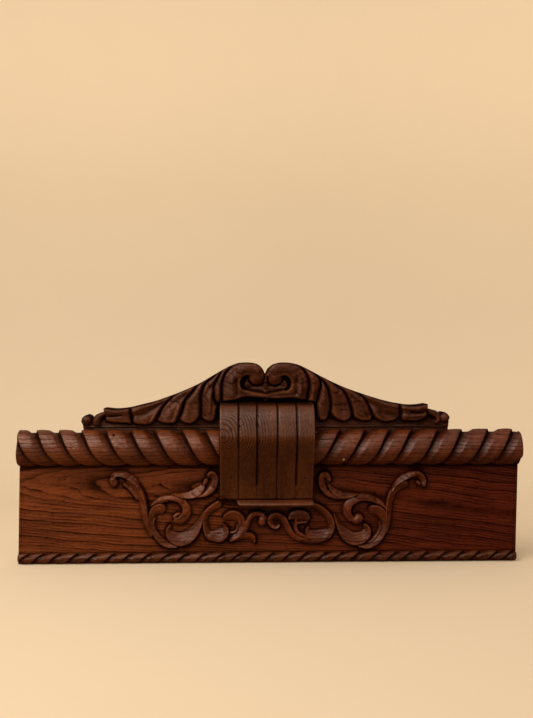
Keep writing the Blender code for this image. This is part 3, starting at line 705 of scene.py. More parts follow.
# ---------------------------------------------------------------------- ropes
def wound_rope(name, node, stations, lean, seed, samples, hand, holes=(), chips=(),
               centre_z=157.0, radius=24.7, depth=6.0, around=130, nose=3.0,
               material=ROPE_OAK):
    """Half-round rope.  stations are where the grooves cross mid height.

    Each strand has a steep wall on one side, a broad crown and a long hollow flank
    on the other; hand is 1 for the wall on the left, -1 for the right.  lean is the
    straight and curved slip of a groove.  holes are (x, z, radius, depth), chips
    (x, z, radius).  nose is how far the front sags.
    """
    noise = Noise(seed)
    x0, x1 = box_mm(node)[0]
    x, angle = np.meshgrid(spaced(x0, x1, (0, 0.25, 0.7, 1.4), samples),
                           np.linspace(-90, 90, around), indexing="ij")
    stations = np.array(stations)
    first, last = stations[1] - stations[0], stations[-1] - stations[-2]
    stations = np.concatenate([stations[0] - first * np.arange(6, 0, -1), stations,
                               stations[-1] + last * np.arange(1, 7)])
    slip = lean[0] * angle / 90 + lean[1] * (angle / 90) ** 2
    count = np.interp(x - slip + 0.5 * noise(x / 23, angle / 40), stations,
                      np.arange(len(stations)))
    strand = np.floor(count)
    phase = count - strand      # share of the way across one strand
    if hand < 0:
        phase = 1 - phase
    own = noise(strand * 0.37 + 9.3, strand * 0.71)
    shoulder = 0.56 + 0.07 * noise(strand * 0.53 + 2.0, strand * 0.29)
    wall = smooth(0.0, 0.075, phase)
    crown = 1.0 - 0.10 * ((phase - 0.30) / 0.30) ** 2
    flank = smooth(1.0, 0.0, unit((phase - shoulder) / (1 - shoulder)) ** 0.8)
    full = wall * np.where(phase < shoulder, crown, np.minimum(crown, 0.10 + 0.90 * flank))
    full = full * smooth(0.0, 0.035, 1 - phase + 0.02)
    out = radius - depth * (1 - full) - 0.35 * (own + 0.4) \
        - 0.30 * np.abs(noise(x / 12, angle / 22, 2)) - 0.10 * noise(x / 3.1, angle / 9)
    out = out - 0.9 * arris(np.minimum(x - x0, x1 - x), 0.9)
    turn = np.radians(angle)
    z = centre_z + out * np.sin(turn) - nose * (out / radius) * np.cos(turn) ** 2
    y = FACE - out * np.cos(turn)
    # painted shade in the grooves, down each strand's long flank and in the hole
    painted_shade_dirt = np.maximum(smooth(0.12, 0.0, phase), smooth(0.86, 0.97, phase))
    painted_shade_dirt = np.maximum(painted_shade_dirt, 0.50 * smooth(shoulder + 0.04, shoulder + 0.34, phase))
    for hole_x, hole_z, size, hole_depth in holes:
        pit = unit(1.15 - np.hypot(x - hole_x, z - hole_z) / size)
        y = y + hole_depth * smooth(0, 0.6, pit)
        painted_shade_dirt = np.maximum(painted_shade_dirt, smooth(0.0, 0.5, pit))
    wear = smooth(0.90, 1.0, full) * 0.6
    for chip_x, chip_z, size in chips:
        chip = unit(1.3 - np.hypot(x - chip_x, (z - chip_z) * 1.3) / size)
        wear = np.where(chip > 0.2, 2.2 * chip, wear)
        painted_shade_dirt = painted_shade_dirt * (1 - smooth(0.1, 0.4, chip))
        y = y + 0.8 * chip ** 0.5
    # painted shade on the underside and in the corner against the board
    painted_shade_dirt = np.maximum(painted_shade_dirt, 0.85 * smooth(66, 88, -angle))
    painted_shade_dirt = np.maximum(painted_shade_dirt, 0.45 * smooth(74, 90, angle))
    back_z = z[:, :1] + (z[:, -1:] - z[:, :1]) * np.linspace(1, 0, 8)[1:-1]
    finish(backed_loft(name, x, y, z, back_z, painted_shade_dirt, wear, sharp=62), material, node)


def ropes():
    wound_rope("rope_left_carved", "upper_rope_left",
               (-332, -303, -273, -243, -211, -177, -145, -108, -77),
               lean=(-21.0, 5.0), seed=31, samples=470, hand=1,
               holes=((-212.0, 175.0, 1.7, 3.2),))
    wound_rope("rope_right_carved", "upper_rope_right",
               (78, 112, 145, 175, 211, 244, 280, 313),
               lean=(21.0, -2.0), seed=32, samples=490, hand=-1,
               chips=((96.0, 142.0, 2.4), (133.5, 180.0, 3.0), (166.0, 180.2, 3.0),
                      (197.0, 180.2, 2.6), (61.0, 177.5, 1.8)))
    wound_rope("rope_foot_carved", "lower_rope",
               (-337, -317, -295, -271, -246.5, -221, -198, -173, -147, -123, -98,
                -74, -51, -30, -6, 19, 40, 66, 88, 112, 139, 162, 182, 205, 231,
                253, 276, 301, 321),
               lean=(11.0, 0.0), seed=33, samples=860, hand=-1, centre_z=7.6,
               radius=7.25, depth=2.8, around=36, nose=0.0, material=BEAD_OAK)


# --------------------------------------------------------------------- corbel
CORBEL_TOP, CORBEL_FOOT = 218.0, 88.0
# (proud, z) down the front
CORBEL_PROFILE = [
    (20.0, CORBEL_TOP), (29.0, 216.8), (36.6, 213.2), (42.6, 207.2), (46.9, 199.2),
    (49.8, 190.0), (52.0, 180.5), (52.9, 174.0), (51.8, 167.5), (47.2, 157.0),
    (40.4, 145.5), (33.5, 134.5), (27.5, 123.5), (22.5, 112.5), (18.6, 102.0),
    (16.2, 94.0), (15.2, CORBEL_FOOT)]
# x, depth and width on the top roll, depth and width below, whether it stops short
CORBEL_FLUTES = (
    (-45.5, 1.9, 2.6, 0.7, 1.8, False), (-20.8, 2.0, 2.5, 2.6, 2.6, True),
    (5.8, 1.9, 2.5, 1.3, 1.9, False), (31.2, 2.1, 2.7, 2.6, 2.7, True))
# x, z, half width, half height
CORBEL_HOLES = ((-54.5, 118.0, 0.9, 1.9), (44.6, 117.2, 1.3, 1.2))


def corbel():
    x0, x1 = box_mm("corbel_block")[0]
    noise = Noise(44)
    flat = np.linspace(0.6, 19.4, 10)[::-1]
    run = np.concatenate([spline(CORBEL_PROFILE, 0.8)[::-1],
                          np.stack([flat, np.full(10, CORBEL_TOP)], 1)])
    tangent = tangents(run)
    x, proud = np.meshgrid(spaced(x0, x1, (0, 0.3, 0.9, 1.6), 260), run[:, 0],
                           indexing="ij")
    z = np.broadcast_to(run[:, 1], x.shape)
    front = proud > 15.0
    cut = 0.14 * noise(x / 30, z / 22) + 0.05 * noise(x / 1.6, z / 26)
    painted_shade_dirt = np.zeros_like(x)
    low = 1 - smooth(120, 178, z)           # 1 below the nose, 0 on the roll
    for n, (flute_x, depth_top, width_top, depth_low, width_low, stops) \
            in enumerate(CORBEL_FLUTES):
        depth = depth_top + (depth_low - depth_top) * low
        width = width_top + (width_low - width_top) * low
        stop = smooth(104, 109, z) if stops else 1.0
        offset = x - (flute_x + 0.5 * noise(z / 40, n * 7.0))
        # steep on the left, easier on the right
        share = np.where(offset < 0, -offset / (0.55 * width), offset / (1.25 * width))
        hollow = unit(1 - share)
        cut = cut + depth * hollow * (0.25 + 0.75 * stop)
        # painted shade in the flutes, a little darker on the steep left wall
        flute_shade = np.where(offset < 0, 1.0, 0.92) * (0.62 + 0.20 * (depth > 1.6))
        painted_shade_dirt = np.maximum(painted_shade_dirt, hollow ** 0.6 * (0.35 + 0.65 * stop) * flute_shade)
    edge = np.minimum(x - x0, x1 - x)
    cut = cut + 1.0 * arris(edge, 1.5)
    # ragged left edge, eased foot and a broken corner at the foot's left
    cut = cut + 1.6 * unit(noise(z / 7, 3.3, 2) - 0.25) * unit(1 - (x - x0) / 3.0)
    cut = cut + 0.8 * arris(z - CORBEL_FOOT, 1.6)
    broken = unit(1 - (x - x0) / 20) * unit(1 - (z - CORBEL_FOOT) / 7)
    cut = cut + 2.4 * smooth(0.1, 0.8, broken * (1 + 0.8 * noise(x / 4, z / 4)))
    for hole_x, hole_z, half_x, half_z in CORBEL_HOLES:
        pit = unit(1.25 - np.hypot((x - hole_x) / half_x, (z - hole_z) / half_z))
        cut = cut + 2.6 * smooth(0, 0.6, pit) * front
        # painted shade in the nail holes
        painted_shade_dirt = np.maximum(painted_shade_dirt, smooth(0, 0.5, pit) * front)
    cut = np.where(proud > 1.0, cut, 0.0)
    # cut square to the profile
    y = FRONT - (proud - tangent[:, 1] * cut)
    y[:, -1] = FRONT - 0.6
    wear = smooth(0.0, 1.0, unit(1 - np.abs(edge - 1.4) / 1.4)) * 0.8
    # painted shadow of the crest along the top, and painted shade at the foot
    painted_shade_dirt = np.maximum(painted_shade_dirt, 0.7 * smooth(212.5, 217.5, z))
    painted_shade_dirt = np.maximum(painted_shade_dirt, 0.5 * smooth(92, 88, z))
    obj = backed_loft("corbel_carved", x, y, z + tangent[:, 0] * cut,
                      np.linspace(CORBEL_TOP, CORBEL_FOOT, 14), painted_shade_dirt, wear, sharp=55)
    finish(obj, CORBEL_OAK, "corbel_block")


def foot_fillet():
    (x0, x1), (y0, _), (low, high) = box_mm("corbel_foot_fillet")
    reach = FRONT - y0
    middle = (high + low) / 2
    noise = Noise(51)
    # section in (proud, z): up the nose, back along the top, down and out again
    nose = spline([(reach - 8.0, low), (reach - 4.2, low + 0.5), (reach - 1.0, low + 1.8),
                   (reach, low + 3.6), (reach - 0.5, low + 5.0), (reach - 3.2, low + 7.4),
                   (reach - 6.6, high - 0.3)], 0.5)
    top = np.stack([np.linspace(reach - 7.4, 1.0, 14), np.full(14, high)], 1)
    bottom = np.stack([np.linspace(1.0, reach - 8.8, 12), np.full(12, low)], 1)
    section = np.concatenate([nose, top, [(0.3, high), (0.3, middle), (0.3, low)], bottom])
    t = np.concatenate([[0, 0.003, 0.009], np.linspace(0.016, 0.985, 170),
                        [0.991, 0.997, 1.0]])
    t, proud = np.meshgrid(t, section[:, 0], indexing="ij")
    z = np.broadcast_to(section[:, 1], t.shape)
    # the left end is broken on a slope
    start = x0 + 0.4 + 1.6 * np.abs(noise(proud / 3.1, z / 3.3, 2)) \
        + 5.5 * smooth(high, low, z) * smooth(4, 20, proud)
    x = start * (1 - t) + x1 * t
    soft = arris(np.minimum(t, 1 - t) * (x1 - x0), 1.2)
    carved = proud - 0.05 * soft * (proud - 8.0) - 0.35 * np.abs(noise(x / 18, z / 5)) \
        * smooth(reach - 9, reach - 2, proud)
    carved = carved - 0.8 * unit(noise(x / 5.5, 2.2, 2) - 0.35) \
        * smooth(reach - 4, reach, proud)
    carved = np.where(proud < 0.6, 0.3, carved)
    rings = np.stack([x, FRONT - carved, z - 0.05 * soft * (z - middle)], axis=-1)
    # painted shade on the underside and in the corner under the corbel
    painted_shade_dirt = np.where(z < low + 1.2, 0.7, 0.0) \
        + 0.9 * (1 - smooth(12, 15.5, proud)) * (z > high - 1)
    wear = smooth(reach - 5.0, reach - 0.4, proud) * (z > low + 3.4) * 0.9
    obj = loft("corbel_fillet_carved", rings, {"painted_shade_dirt": unit(painted_shade_dirt), "wear": wear}, sharp=50)
    finish(obj, CORBEL_OAK, "corbel_foot_fillet")


# ---------------------------------------------------------------------- crest
# (x, z) round the outside of each half, from left to right
CREST_LEFT = [
    (-254.5, 176.3), (-255, 182), (-256, 188), (-257, 193.5), (-255, 198.5), (-250, 201.5),
    (-245.5, 200.2), (-242.8, 197.4), (-240.5, 199), (-237, 201.8), (-233, 203.8),
    (-228.2, 204.6), (-226.8, 206), (-226.6, 210.6), (-221, 210.4), (-211.5, 209.5),
    (-202, 210), (-191.5, 211.5), (-175, 215.5), (-159, 219.5), (-143, 225), (-127, 231),
    (-110.5, 238), (-94.5, 246), (-78.5, 255.5), (-62, 265), (-54, 268.6), (-46, 271.4),
    (-38, 272.3), (-29.5, 272.2), (-21.5, 270.8), (-16, 267.5), (-12, 262.6), (-9, 256)]
CREST_RIGHT = [
    (-5.6, 263.6), (-1, 267.6), (3, 270), (11, 272), (19, 272.3), (27, 271.5),
    (35.5, 269.5), (43.5, 266), (51.5, 262), (60, 257.5), (68, 253), (84.5, 245),
    (100.5, 238), (117, 232), (133.5, 226.5), (150, 221.5), (166, 217.5), (174.5, 216),
    (182.5, 214.7), (191, 214), (202, 214.6), (211.4, 216), (212.8, 215.4),
    (213.2, 209.8), (219.5, 208), (226, 206), (230.2, 202.4), (233.5, 204.4), (238, 204),
    (242, 201), (243.5, 196), (243, 188.5), (242, 182), (242, 176.3)]
# (x, z) along the valleys between the leaves, from each end towards the middle
VALLEYS = [
    [(-191.5, 214), (-190.5, 203), (-189, 196.5), (-188.5, 188)],
    [(-128, 232.5), (-140, 220.5), (-145.5, 214.5), (-149.5, 208.5), (-153, 201.5),
     (-156, 195), (-160, 188)],
    [(-98.5, 245), (-108, 232.5), (-113, 227), (-117.5, 220.5), (-120, 212.5),
     (-122.5, 204.5), (-127, 193.5), (-128, 188)],
    [(-71.5, 260), (-79.5, 252.5), (-86.5, 247.5), (-91.5, 241.5), (-94.5, 234),
     (-96, 226), (-96, 215), (-96, 205.5), (-96.5, 195)],
    [(-67.5, 262), (-74, 250), (-78.5, 240.5), (-79, 232.5), (-78.5, 224.5), (-75, 216)],
    [(-51.5, 270.5), (-56.5, 265), (-62, 259), (-65.5, 251.5), (-67.5, 243.5),
     (-68, 234), (-68, 227), (-67.5, 218)],
    [(174, 218), (175, 209), (175.5, 202.5), (175.5, 193)],
    [(112.5, 234), (122, 227), (127.5, 221.5), (131.5, 214.5), (134.5, 208), (137, 201),
     (141.5, 191)],
    [(80, 247), (88, 241), (96.5, 235), (100.5, 229.5), (104.5, 221.5), (107, 213.5),
     (109.5, 204), (110, 195)],
    [(55.5, 260), (63.5, 252.5), (70.5, 246), (76, 237.5), (78.5, 228), (80, 219),
     (80, 210.5), (78.5, 200)],
    [(50, 263), (59.5, 256.5), (65, 250), (66.5, 242), (64.5, 232.5), (62.5, 224),
     (59.5, 215)],
    [(34, 271), (39.5, 266), (43.5, 262), (47.5, 256), (50, 248.5), (51, 239),
     (49.5, 232.5), (47.5, 219)]]
# hollows in the leaves: run, depth, half width
FOLDS = [
    ([(-186, 200), (-178, 201.5), (-170, 204.5), (-162, 208.5), (-154, 213.5)], 2.6, 4.0),
    ([(-166, 190), (-162, 197), (-157, 204)], 1.2, 3.0),
    ([(-150, 193), (-146, 203), (-139, 212), (-128, 221), (-116, 229.5)], 2.3, 4.2),
    ([(-134, 196), (-132, 206), (-126, 216)], 0.9, 2.6),
    ([(-110, 194), (-110, 202)], 0.8, 2.4),
    ([(-91, 200), (-91.5, 214), (-90, 226), (-84, 238)], 2.0, 3.2),
    ([(-47.6, 262), (-47.8, 246), (-46.6, 229)], 1.8, 2.4),
    ([(-229, 200.4), (-219, 199.8), (-209, 200.4), (-203, 201)], 2.4, 1.2),
    ([(190, 204.6), (197, 204), (205, 204.4), (213, 206)], 2.2, 1.2),
    ([(-62, 224), (-63, 236), (-60, 248), (-54, 259)], 1.3, 2.8),
    ([(169, 200), (160, 202), (152, 206), (143, 211.5), (132, 218)], 2.2, 3.8),
    ([(153, 193), (150, 199), (146, 204)], 1.0, 2.8),
    ([(131, 196), (126, 206), (119, 216), (109, 225)], 1.8, 3.6),
    ([(95, 198), (95, 212), (92, 224)], 0.8, 3.4),
    ([(72, 200), (74, 214), (74, 227), (69, 240)], 1.2, 2.8),
    ([(31.5, 262), (33.5, 246), (32.5, 229)], 1.5, 2.4),
    ([(43, 226), (44, 238), (41.5, 250), (36, 260)], 1.1, 2.6)]
# raised folds: run, rise, half width
RIBS = [
    ([(-187, 206.5), (-180.5, 208.6), (-173.5, 210.8), (-164, 214.4), (-152, 219.4)],
     2.2, 2.0),
    ([(-227, 206.4), (-215, 205), (-204.5, 205), (-193, 206.6)], 2.2, 3.4),
    ([(-163, 192), (-158.5, 200), (-153.5, 208), (-148, 214.5), (-139, 222)], 1.8, 2.0),
    ([(-132, 194), (-127.5, 204), (-125, 213), (-119.5, 222), (-110, 233)], 1.7, 1.8),
    ([(-100.5, 200), (-100, 214), (-99.5, 226), (-96.5, 237)], 1.2, 2.6),
    ([(-84, 206), (-83.5, 218), (-81.5, 230), (-78, 240)], 1.5, 2.0),
    ([(-70.6, 224), (-71, 236), (-68, 248), (-62, 258.5)], 1.3, 2.2),
    ([(-53, 228), (-54, 240), (-52, 252), (-44, 265)], 1.5, 2.4),
    ([(-42.5, 236), (-43.5, 250), (-40, 262)], 1.3, 2.2),
    ([(177, 211), (187.5, 209.6), (198.5, 209.8), (211, 212)], 3.0, 2.8),
    ([(177, 199.5), (187, 199), (198, 199.6), (207, 201)], 1.6, 2.2),
    ([(172, 212), (162, 213.4), (152, 216), (141, 220)], 1.8, 2.2),
    ([(145, 193), (140.5, 202), (136, 209), (130, 217), (122, 225)], 1.7, 2.0),
    ([(113.5, 198), (112.5, 208), (110, 217), (104.5, 226)], 1.4, 2.0),
    ([(83, 204), (83.5, 214), (82.5, 226), (79.5, 236)], 1.2, 2.2),
    ([(54, 222), (55.5, 234), (54.5, 246), (49, 257)], 1.2, 2.2),
    ([(37.5, 228), (39.5, 240), (38, 251), (31, 263)], 1.5, 2.4)]
# (x, z) along the scalloped lower edge of the leaves
SCALLOP_LEFT = [
    (-226.4, 204.5), (-224.5, 199), (-223, 193.5), (-215, 191.2), (-204.5, 190.6),
    (-195, 190.2), (-190.5, 189.4), (-187, 190.2), (-183, 189.4), (-177.5, 188.6),
    (-168.5, 188.4), (-163, 189.8), (-160.2, 192.2), (-155.5, 194.6), (-152.5, 192.4),
    (-147, 190.2), (-140, 189.6), (-132.2, 190.2), (-128.4, 193), (-125.6, 196.2),
    (-122.2, 192.8), (-116, 190), (-108.5, 189.9), (-102.8, 193.2), (-96.6, 199.6),
    (-92, 194.8), (-84.5, 192.4), (-78.2, 194.4), (-75.6, 202), (-74.6, 211.5),
    (-74, 217.5), (-70.5, 219.2), (-67.4, 219.6), (-62, 219.8), (-54, 220), (-46, 222),
    (-40.5, 224.3), (-29.5, 225), (-19, 224.2), (-10, 223.4)]
SCALLOP_RIGHT = [
    (0, 222.4), (11, 222.4), (21.5, 223.6), (30, 223.6), (39.5, 221.6), (47.5, 220.6),
    (53, 218.8), (59.2, 217.6), (61.4, 213), (61.4, 205), (62.4, 198), (65.2, 194.4),
    (70.4, 193), (75.2, 196.6), (79, 205.4), (82.6, 200.6), (87.4, 196), (92.4, 193.4),
    (97.2, 192.6), (102.4, 193.6), (106.6, 196.8), (109.8, 201.4), (112.8, 197.8),
    (119.4, 194.2), (127.6, 192.8), (134.2, 193.6), (138.7, 199.2), (142, 196.4),
    (147.4, 193), (156.1, 191.4), (164.6, 192.6), (170.4, 195.4), (174.2, 198.6),
    (179, 194), (190, 192.6), (203, 193.6), (210.5, 198.5), (212.2, 204)]

MIDLINE = -8.3                  # x between the two volutes
# centre x and z, moat radius, ball radius, 1 for the left one and -1 for the right
VOLUTES = ((-20.4, 253.2, 11.2, 11.6, 1), (3.8, 252.6, 10.9, 11.4, -1))
# Runs of a volute: distance outwards from its centre, z, half width if a stroke.
VOLUTE_PANEL = [(20.5, 246), (14, 250), (6, 249), (-4, 246), (-13, 245), (-13, 230.2),
                (-4, 231), (7, 232.8), (15, 235), (20, 239)]
VOLUTE_RIM = [(22.0, 250, 1.6), (23.2, 243, 2.6), (20.5, 235.2, 3.2), (12, 230.2, 3.4),
              (2, 227.6, 3.2), (-12, 226.2, 3.0)]
VOLUTE_SHELL = [(27, 253, 4.6), (23.5, 259.5, 6.2), (16.5, 263.6, 7.4), (8, 264.4, 8.0),
                (-1.0, 261.6, 7.2)]
# the z of these two is counted from the volute's centre
VOLUTE_PETAL = [(14.5, 8.6, 2.0), (19.5, 5.6, 3.2), (22.0, -0.6, 3.0), (22.4, -7.0, 1.8)]
VOLUTE_HOLLOW = [(9.8, -0.6, 1.4), (13.2, -0.4, 2.4), (17.2, -3.2, 2.9),
                 (19.6, -8.6, 2.7), (18.6, -14.4, 2.0), (14.6, -17.6, 1.1)]
# small curls and knobs that end the crest: height, run of (x, z, half width)
CREST_CURLS = (
    (8.6, [(-250.6, 193.8, 6.8), (-250.2, 194.1, 6.8)]),
    (8.0, [(-227.0, 203, 2.4), (-231.5, 200.8, 4.2), (-235.0, 196.6, 5.2),
           (-236.4, 191.4, 5.2), (-235.4, 187.6, 4.0)]),
    (8.0, [(236.6, 196.4, 6.6), (236.9, 196.6, 6.6)]),
    (7.0, [(214.0, 205.6, 2.4), (220.5, 203.6, 3.6), (226.0, 199.6, 3.8),
           (227.8, 194.6, 3.6), (225.0, 190.6, 2.8)]))
KNOB_CENTRES = ((-250.0, 194.6), (236.7, 196.5))


def closed(run):
    return np.concatenate([run, run[:1]])


def add_roll(proud, x, z, run, base, high):
    """Lay a half-round stroke over the carving."""
    gap, _, radial, _ = stroke_field(x, z, run)
    return np.where(gap < 0, np.maximum(proud, base + high * dome(radial)), proud)


def add_volutes(proud, x, z, noise):
    """The shell rolls over into a ball, and a hollow opens behind it."""

    def placed(table, base_z=0.0):
        return [(centre_x - side * out, base_z + at_z, *half) for out, at_z, *half in table]

    for centre_x, centre_z, moat_radius, _, side in VOLUTES:
        run = spline(closed(placed(VOLUTE_PANEL)), 1.2)
        distance = segment_distance(x, z, run, 9.0)
        sunk = smooth(-0.8, 1.6, np.where(inside(x, z, run), distance, -distance))
        level = 5.2 + 0.35 * noise(x / 26, z / 1.9) + 2.2 * bell(x - MIDLINE, 3.2)
        proud = proud * (1 - sunk) + level * sunk
        proud = add_roll(proud, x, z, placed(VOLUTE_RIM), base=6.0, high=4.6)
        # petal between the shell and the hollow
        proud = add_roll(proud, x, z, placed(VOLUTE_PETAL, centre_z), base=8.2, high=3.6)
        gap = stroke_field(x, z, placed(VOLUTE_HOLLOW, centre_z))[0]
        cut = smooth(0.7, -1.1, gap)
        proud = proud * (1 - cut) + np.minimum(proud, -1.0) * cut
        distance = np.hypot(x - centre_x, z - centre_z)
        moat = bell(distance - moat_radius - 0.9, 1.1) \
            * smooth(centre_z + 3.0, centre_z - 2.0, z) \
            * smooth(1.5, 5.0, np.abs(x - MIDLINE))
        proud = proud - 3.4 * moat
    # the ball, and the shell that rolls down into it without a break
    for centre_x, centre_z, _, ball_radius, side in VOLUTES:
        rise = np.where(z > centre_z, 0.22 * (z - centre_z), z - centre_z)
        distance = np.hypot(x - centre_x, rise)
        ball = 3.5 + 11.0 * dome(distance / ball_radius)
        above = smooth(centre_z - 2.0, centre_z + 3.0, z)
        ball = ball * (1 - above) + np.maximum(ball, proud) * above
        proud = np.where(distance < ball_radius, ball, proud)
        gap, _, radial, _ = stroke_field(x, z, placed(VOLUTE_SHELL))
        roll = 5.0 + 8.6 * dome(radial)
        join = 0.5 * (proud + roll + np.sqrt((proud - roll) ** 2 + 14.0))
        lap = smooth(1.5, -4.0, gap)
        proud = proud * (1 - lap) + join * lap
    return proud


def crest():
    step = 0.62
    x, z = np.meshgrid(np.arange(-262, 249, step), np.arange(173.5, 276, step))
    left, right = spline(CREST_LEFT, 1.2), spline(CREST_RIGHT, 1.2)
    outline = np.concatenate([left, right])
    distance = segment_distance(x, z, closed(outline), 14.0)
    within = inside(x, z, outline)
    sdf = np.where(within, -distance, distance)
    noise = Noise(61)
    # the carved leaves stand above a ground cut back behind them
    top_left = left[(left[:, 1] > 205.9) & (left[:, 0] > -227.5)]
    top_right = right[(right[:, 1] > 209.0) & (right[:, 0] < 213.5)]
    leaf = np.concatenate([top_left, top_right, spline(SCALLOP_RIGHT, 1.2)[::-1],
                           spline(SCALLOP_LEFT, 1.2)[::-1]])
    leaf_in = inside(x, z, leaf)
    leaf_edge = segment_distance(x, z, closed(leaf), 8.0)
    valley = np.minimum.reduce([segment_distance(x, z, spline(run, 1.5), 14.0)
                                for run in VALLEYS])
    valley = valley + 0.25 * noise(x / 9, z / 9)
    middle = bell(x + 8, 85.0)
    crown = 9.5 + 4.2 * middle
    pillow = quarter_round(valley / (7.6 + 1.4 * middle))
    edge = quarter_round(leaf_edge / 3.4)
    valley_floor = 0.4 + 1.6 * middle
    body = valley_floor + (crown - valley_floor) * pillow
    body = 0.5 + (body - 0.5) * (0.42 + 0.58 * edge)
    body = body + 0.8 * noise(x / 19, z / 15) * pillow
    for table, sign, share in ((FOLDS, -1, pillow), (RIBS, 1, edge)):
        for run, height, half in table:
            distance = segment_distance(x, z, spline(run, 1.5), 9.0)
            body = body + sign * height * bell(distance, half) * share
    ground = -0.6 + 0.20 * noise(x / 14, z / 4) \
        + 0.9 * smooth(186.4, 184.6, z + 0.9 * noise(x / 16, 3.0)) \
        + 0.35 * noise(x / 11, z / 4.0) * smooth(194, 190, z)
    proud = add_volutes(np.where(leaf_in, body, ground), x, z, noise)

    pendant = np.hypot((x + 8.2) / 3.0, (z - 223.0) / 5.0)
    proud = np.where(pendant < 1, np.maximum(proud, 3.0 + 6.0 * dome(pendant)), proud)
    for high, run in CREST_CURLS:
        gap, _, radial, _ = stroke_field(x, z, run)
        curl = 0.2 + high * np.sqrt(unit(1 - radial ** 2) * 0.86 + 0.14)
        proud = np.where(gap < 0, np.maximum(proud, curl), proud)
    # a pricked spiral in each knob
    for knob_x, knob_z in KNOB_CENTRES:
        dx, dz = x - knob_x, z - knob_z
        distance = np.hypot(dx, dz)
        turn = np.arctan2(dz, dx) / (2 * math.pi)
        arm = np.abs(((distance / 3.4 - turn) % 1.0) - 0.5)
        proud = proud - 0.8 * smooth(0.36, 0.5, arm) * (distance < 5.4)
    proud = proud - 2.6 * (1 - quarter_round(-sdf / 2.2)) * (z > 180)
    # the board is thinned where the rope and the corbel lie over it
    seat = smooth(-71.8, -71.0, x) * smooth(56.6, 55.8, x) * smooth(219.6, 218.8, z)
    proud = np.where(seat > 0.5, np.minimum(proud, -0.6), proud)
    proud = np.where(z < 187.2, np.minimum(proud, ground), proud)
    proud = proud - 1.3 * bell(z - 183.4, 0.8)
    proud = np.where(z < 182.6, np.minimum(proud, -0.3), proud)
    proud = blur(proud, within, 0.75)
    proud = proud + 0.10 * noise(x / 2.4, z / 2.4, 2) * (z > 184)
    # painted shade in hollows, which lie below their surroundings, in the sunk ground and
    # along the valleys; worn places stand above them
    wide = blur(proud, within, 4.2)
    painted_shade_dirt = unit((wide - proud) / 1.7)
    painted_shade_dirt = unit(painted_shade_dirt + smooth(3.5, -1.0, proud) * 0.55 * (z > 189.5))
    painted_shade_dirt = unit(painted_shade_dirt + 0.95 * bell(np.maximum(valley, 0), 1.7) * leaf_in)
    # on the band below the leaves: painted shadow under the leaf edges and painted shade in
    # the groove above the rope
    band = smooth(197, 192, z) * ~leaf_in
    painted_shadow_under_leaf = 0.95 * bell(leaf_edge, 1.7) + 0.35 * bell(leaf_edge, 4.5)
    painted_shade_dirt = painted_shade_dirt * (1 - band) + band * unit(0.02 + painted_shadow_under_leaf + 0.7 * bell(z - 183.4, 0.9))
    wear = unit((proud - wide) / 2.2) * (1 - band)
    obj = relief("crest_carved", x, z, sdf, proud, painted_shade_dirt, wear, FRONT, BACK, sharp=48)
    finish(obj, CREST_OAK, "crest_board")


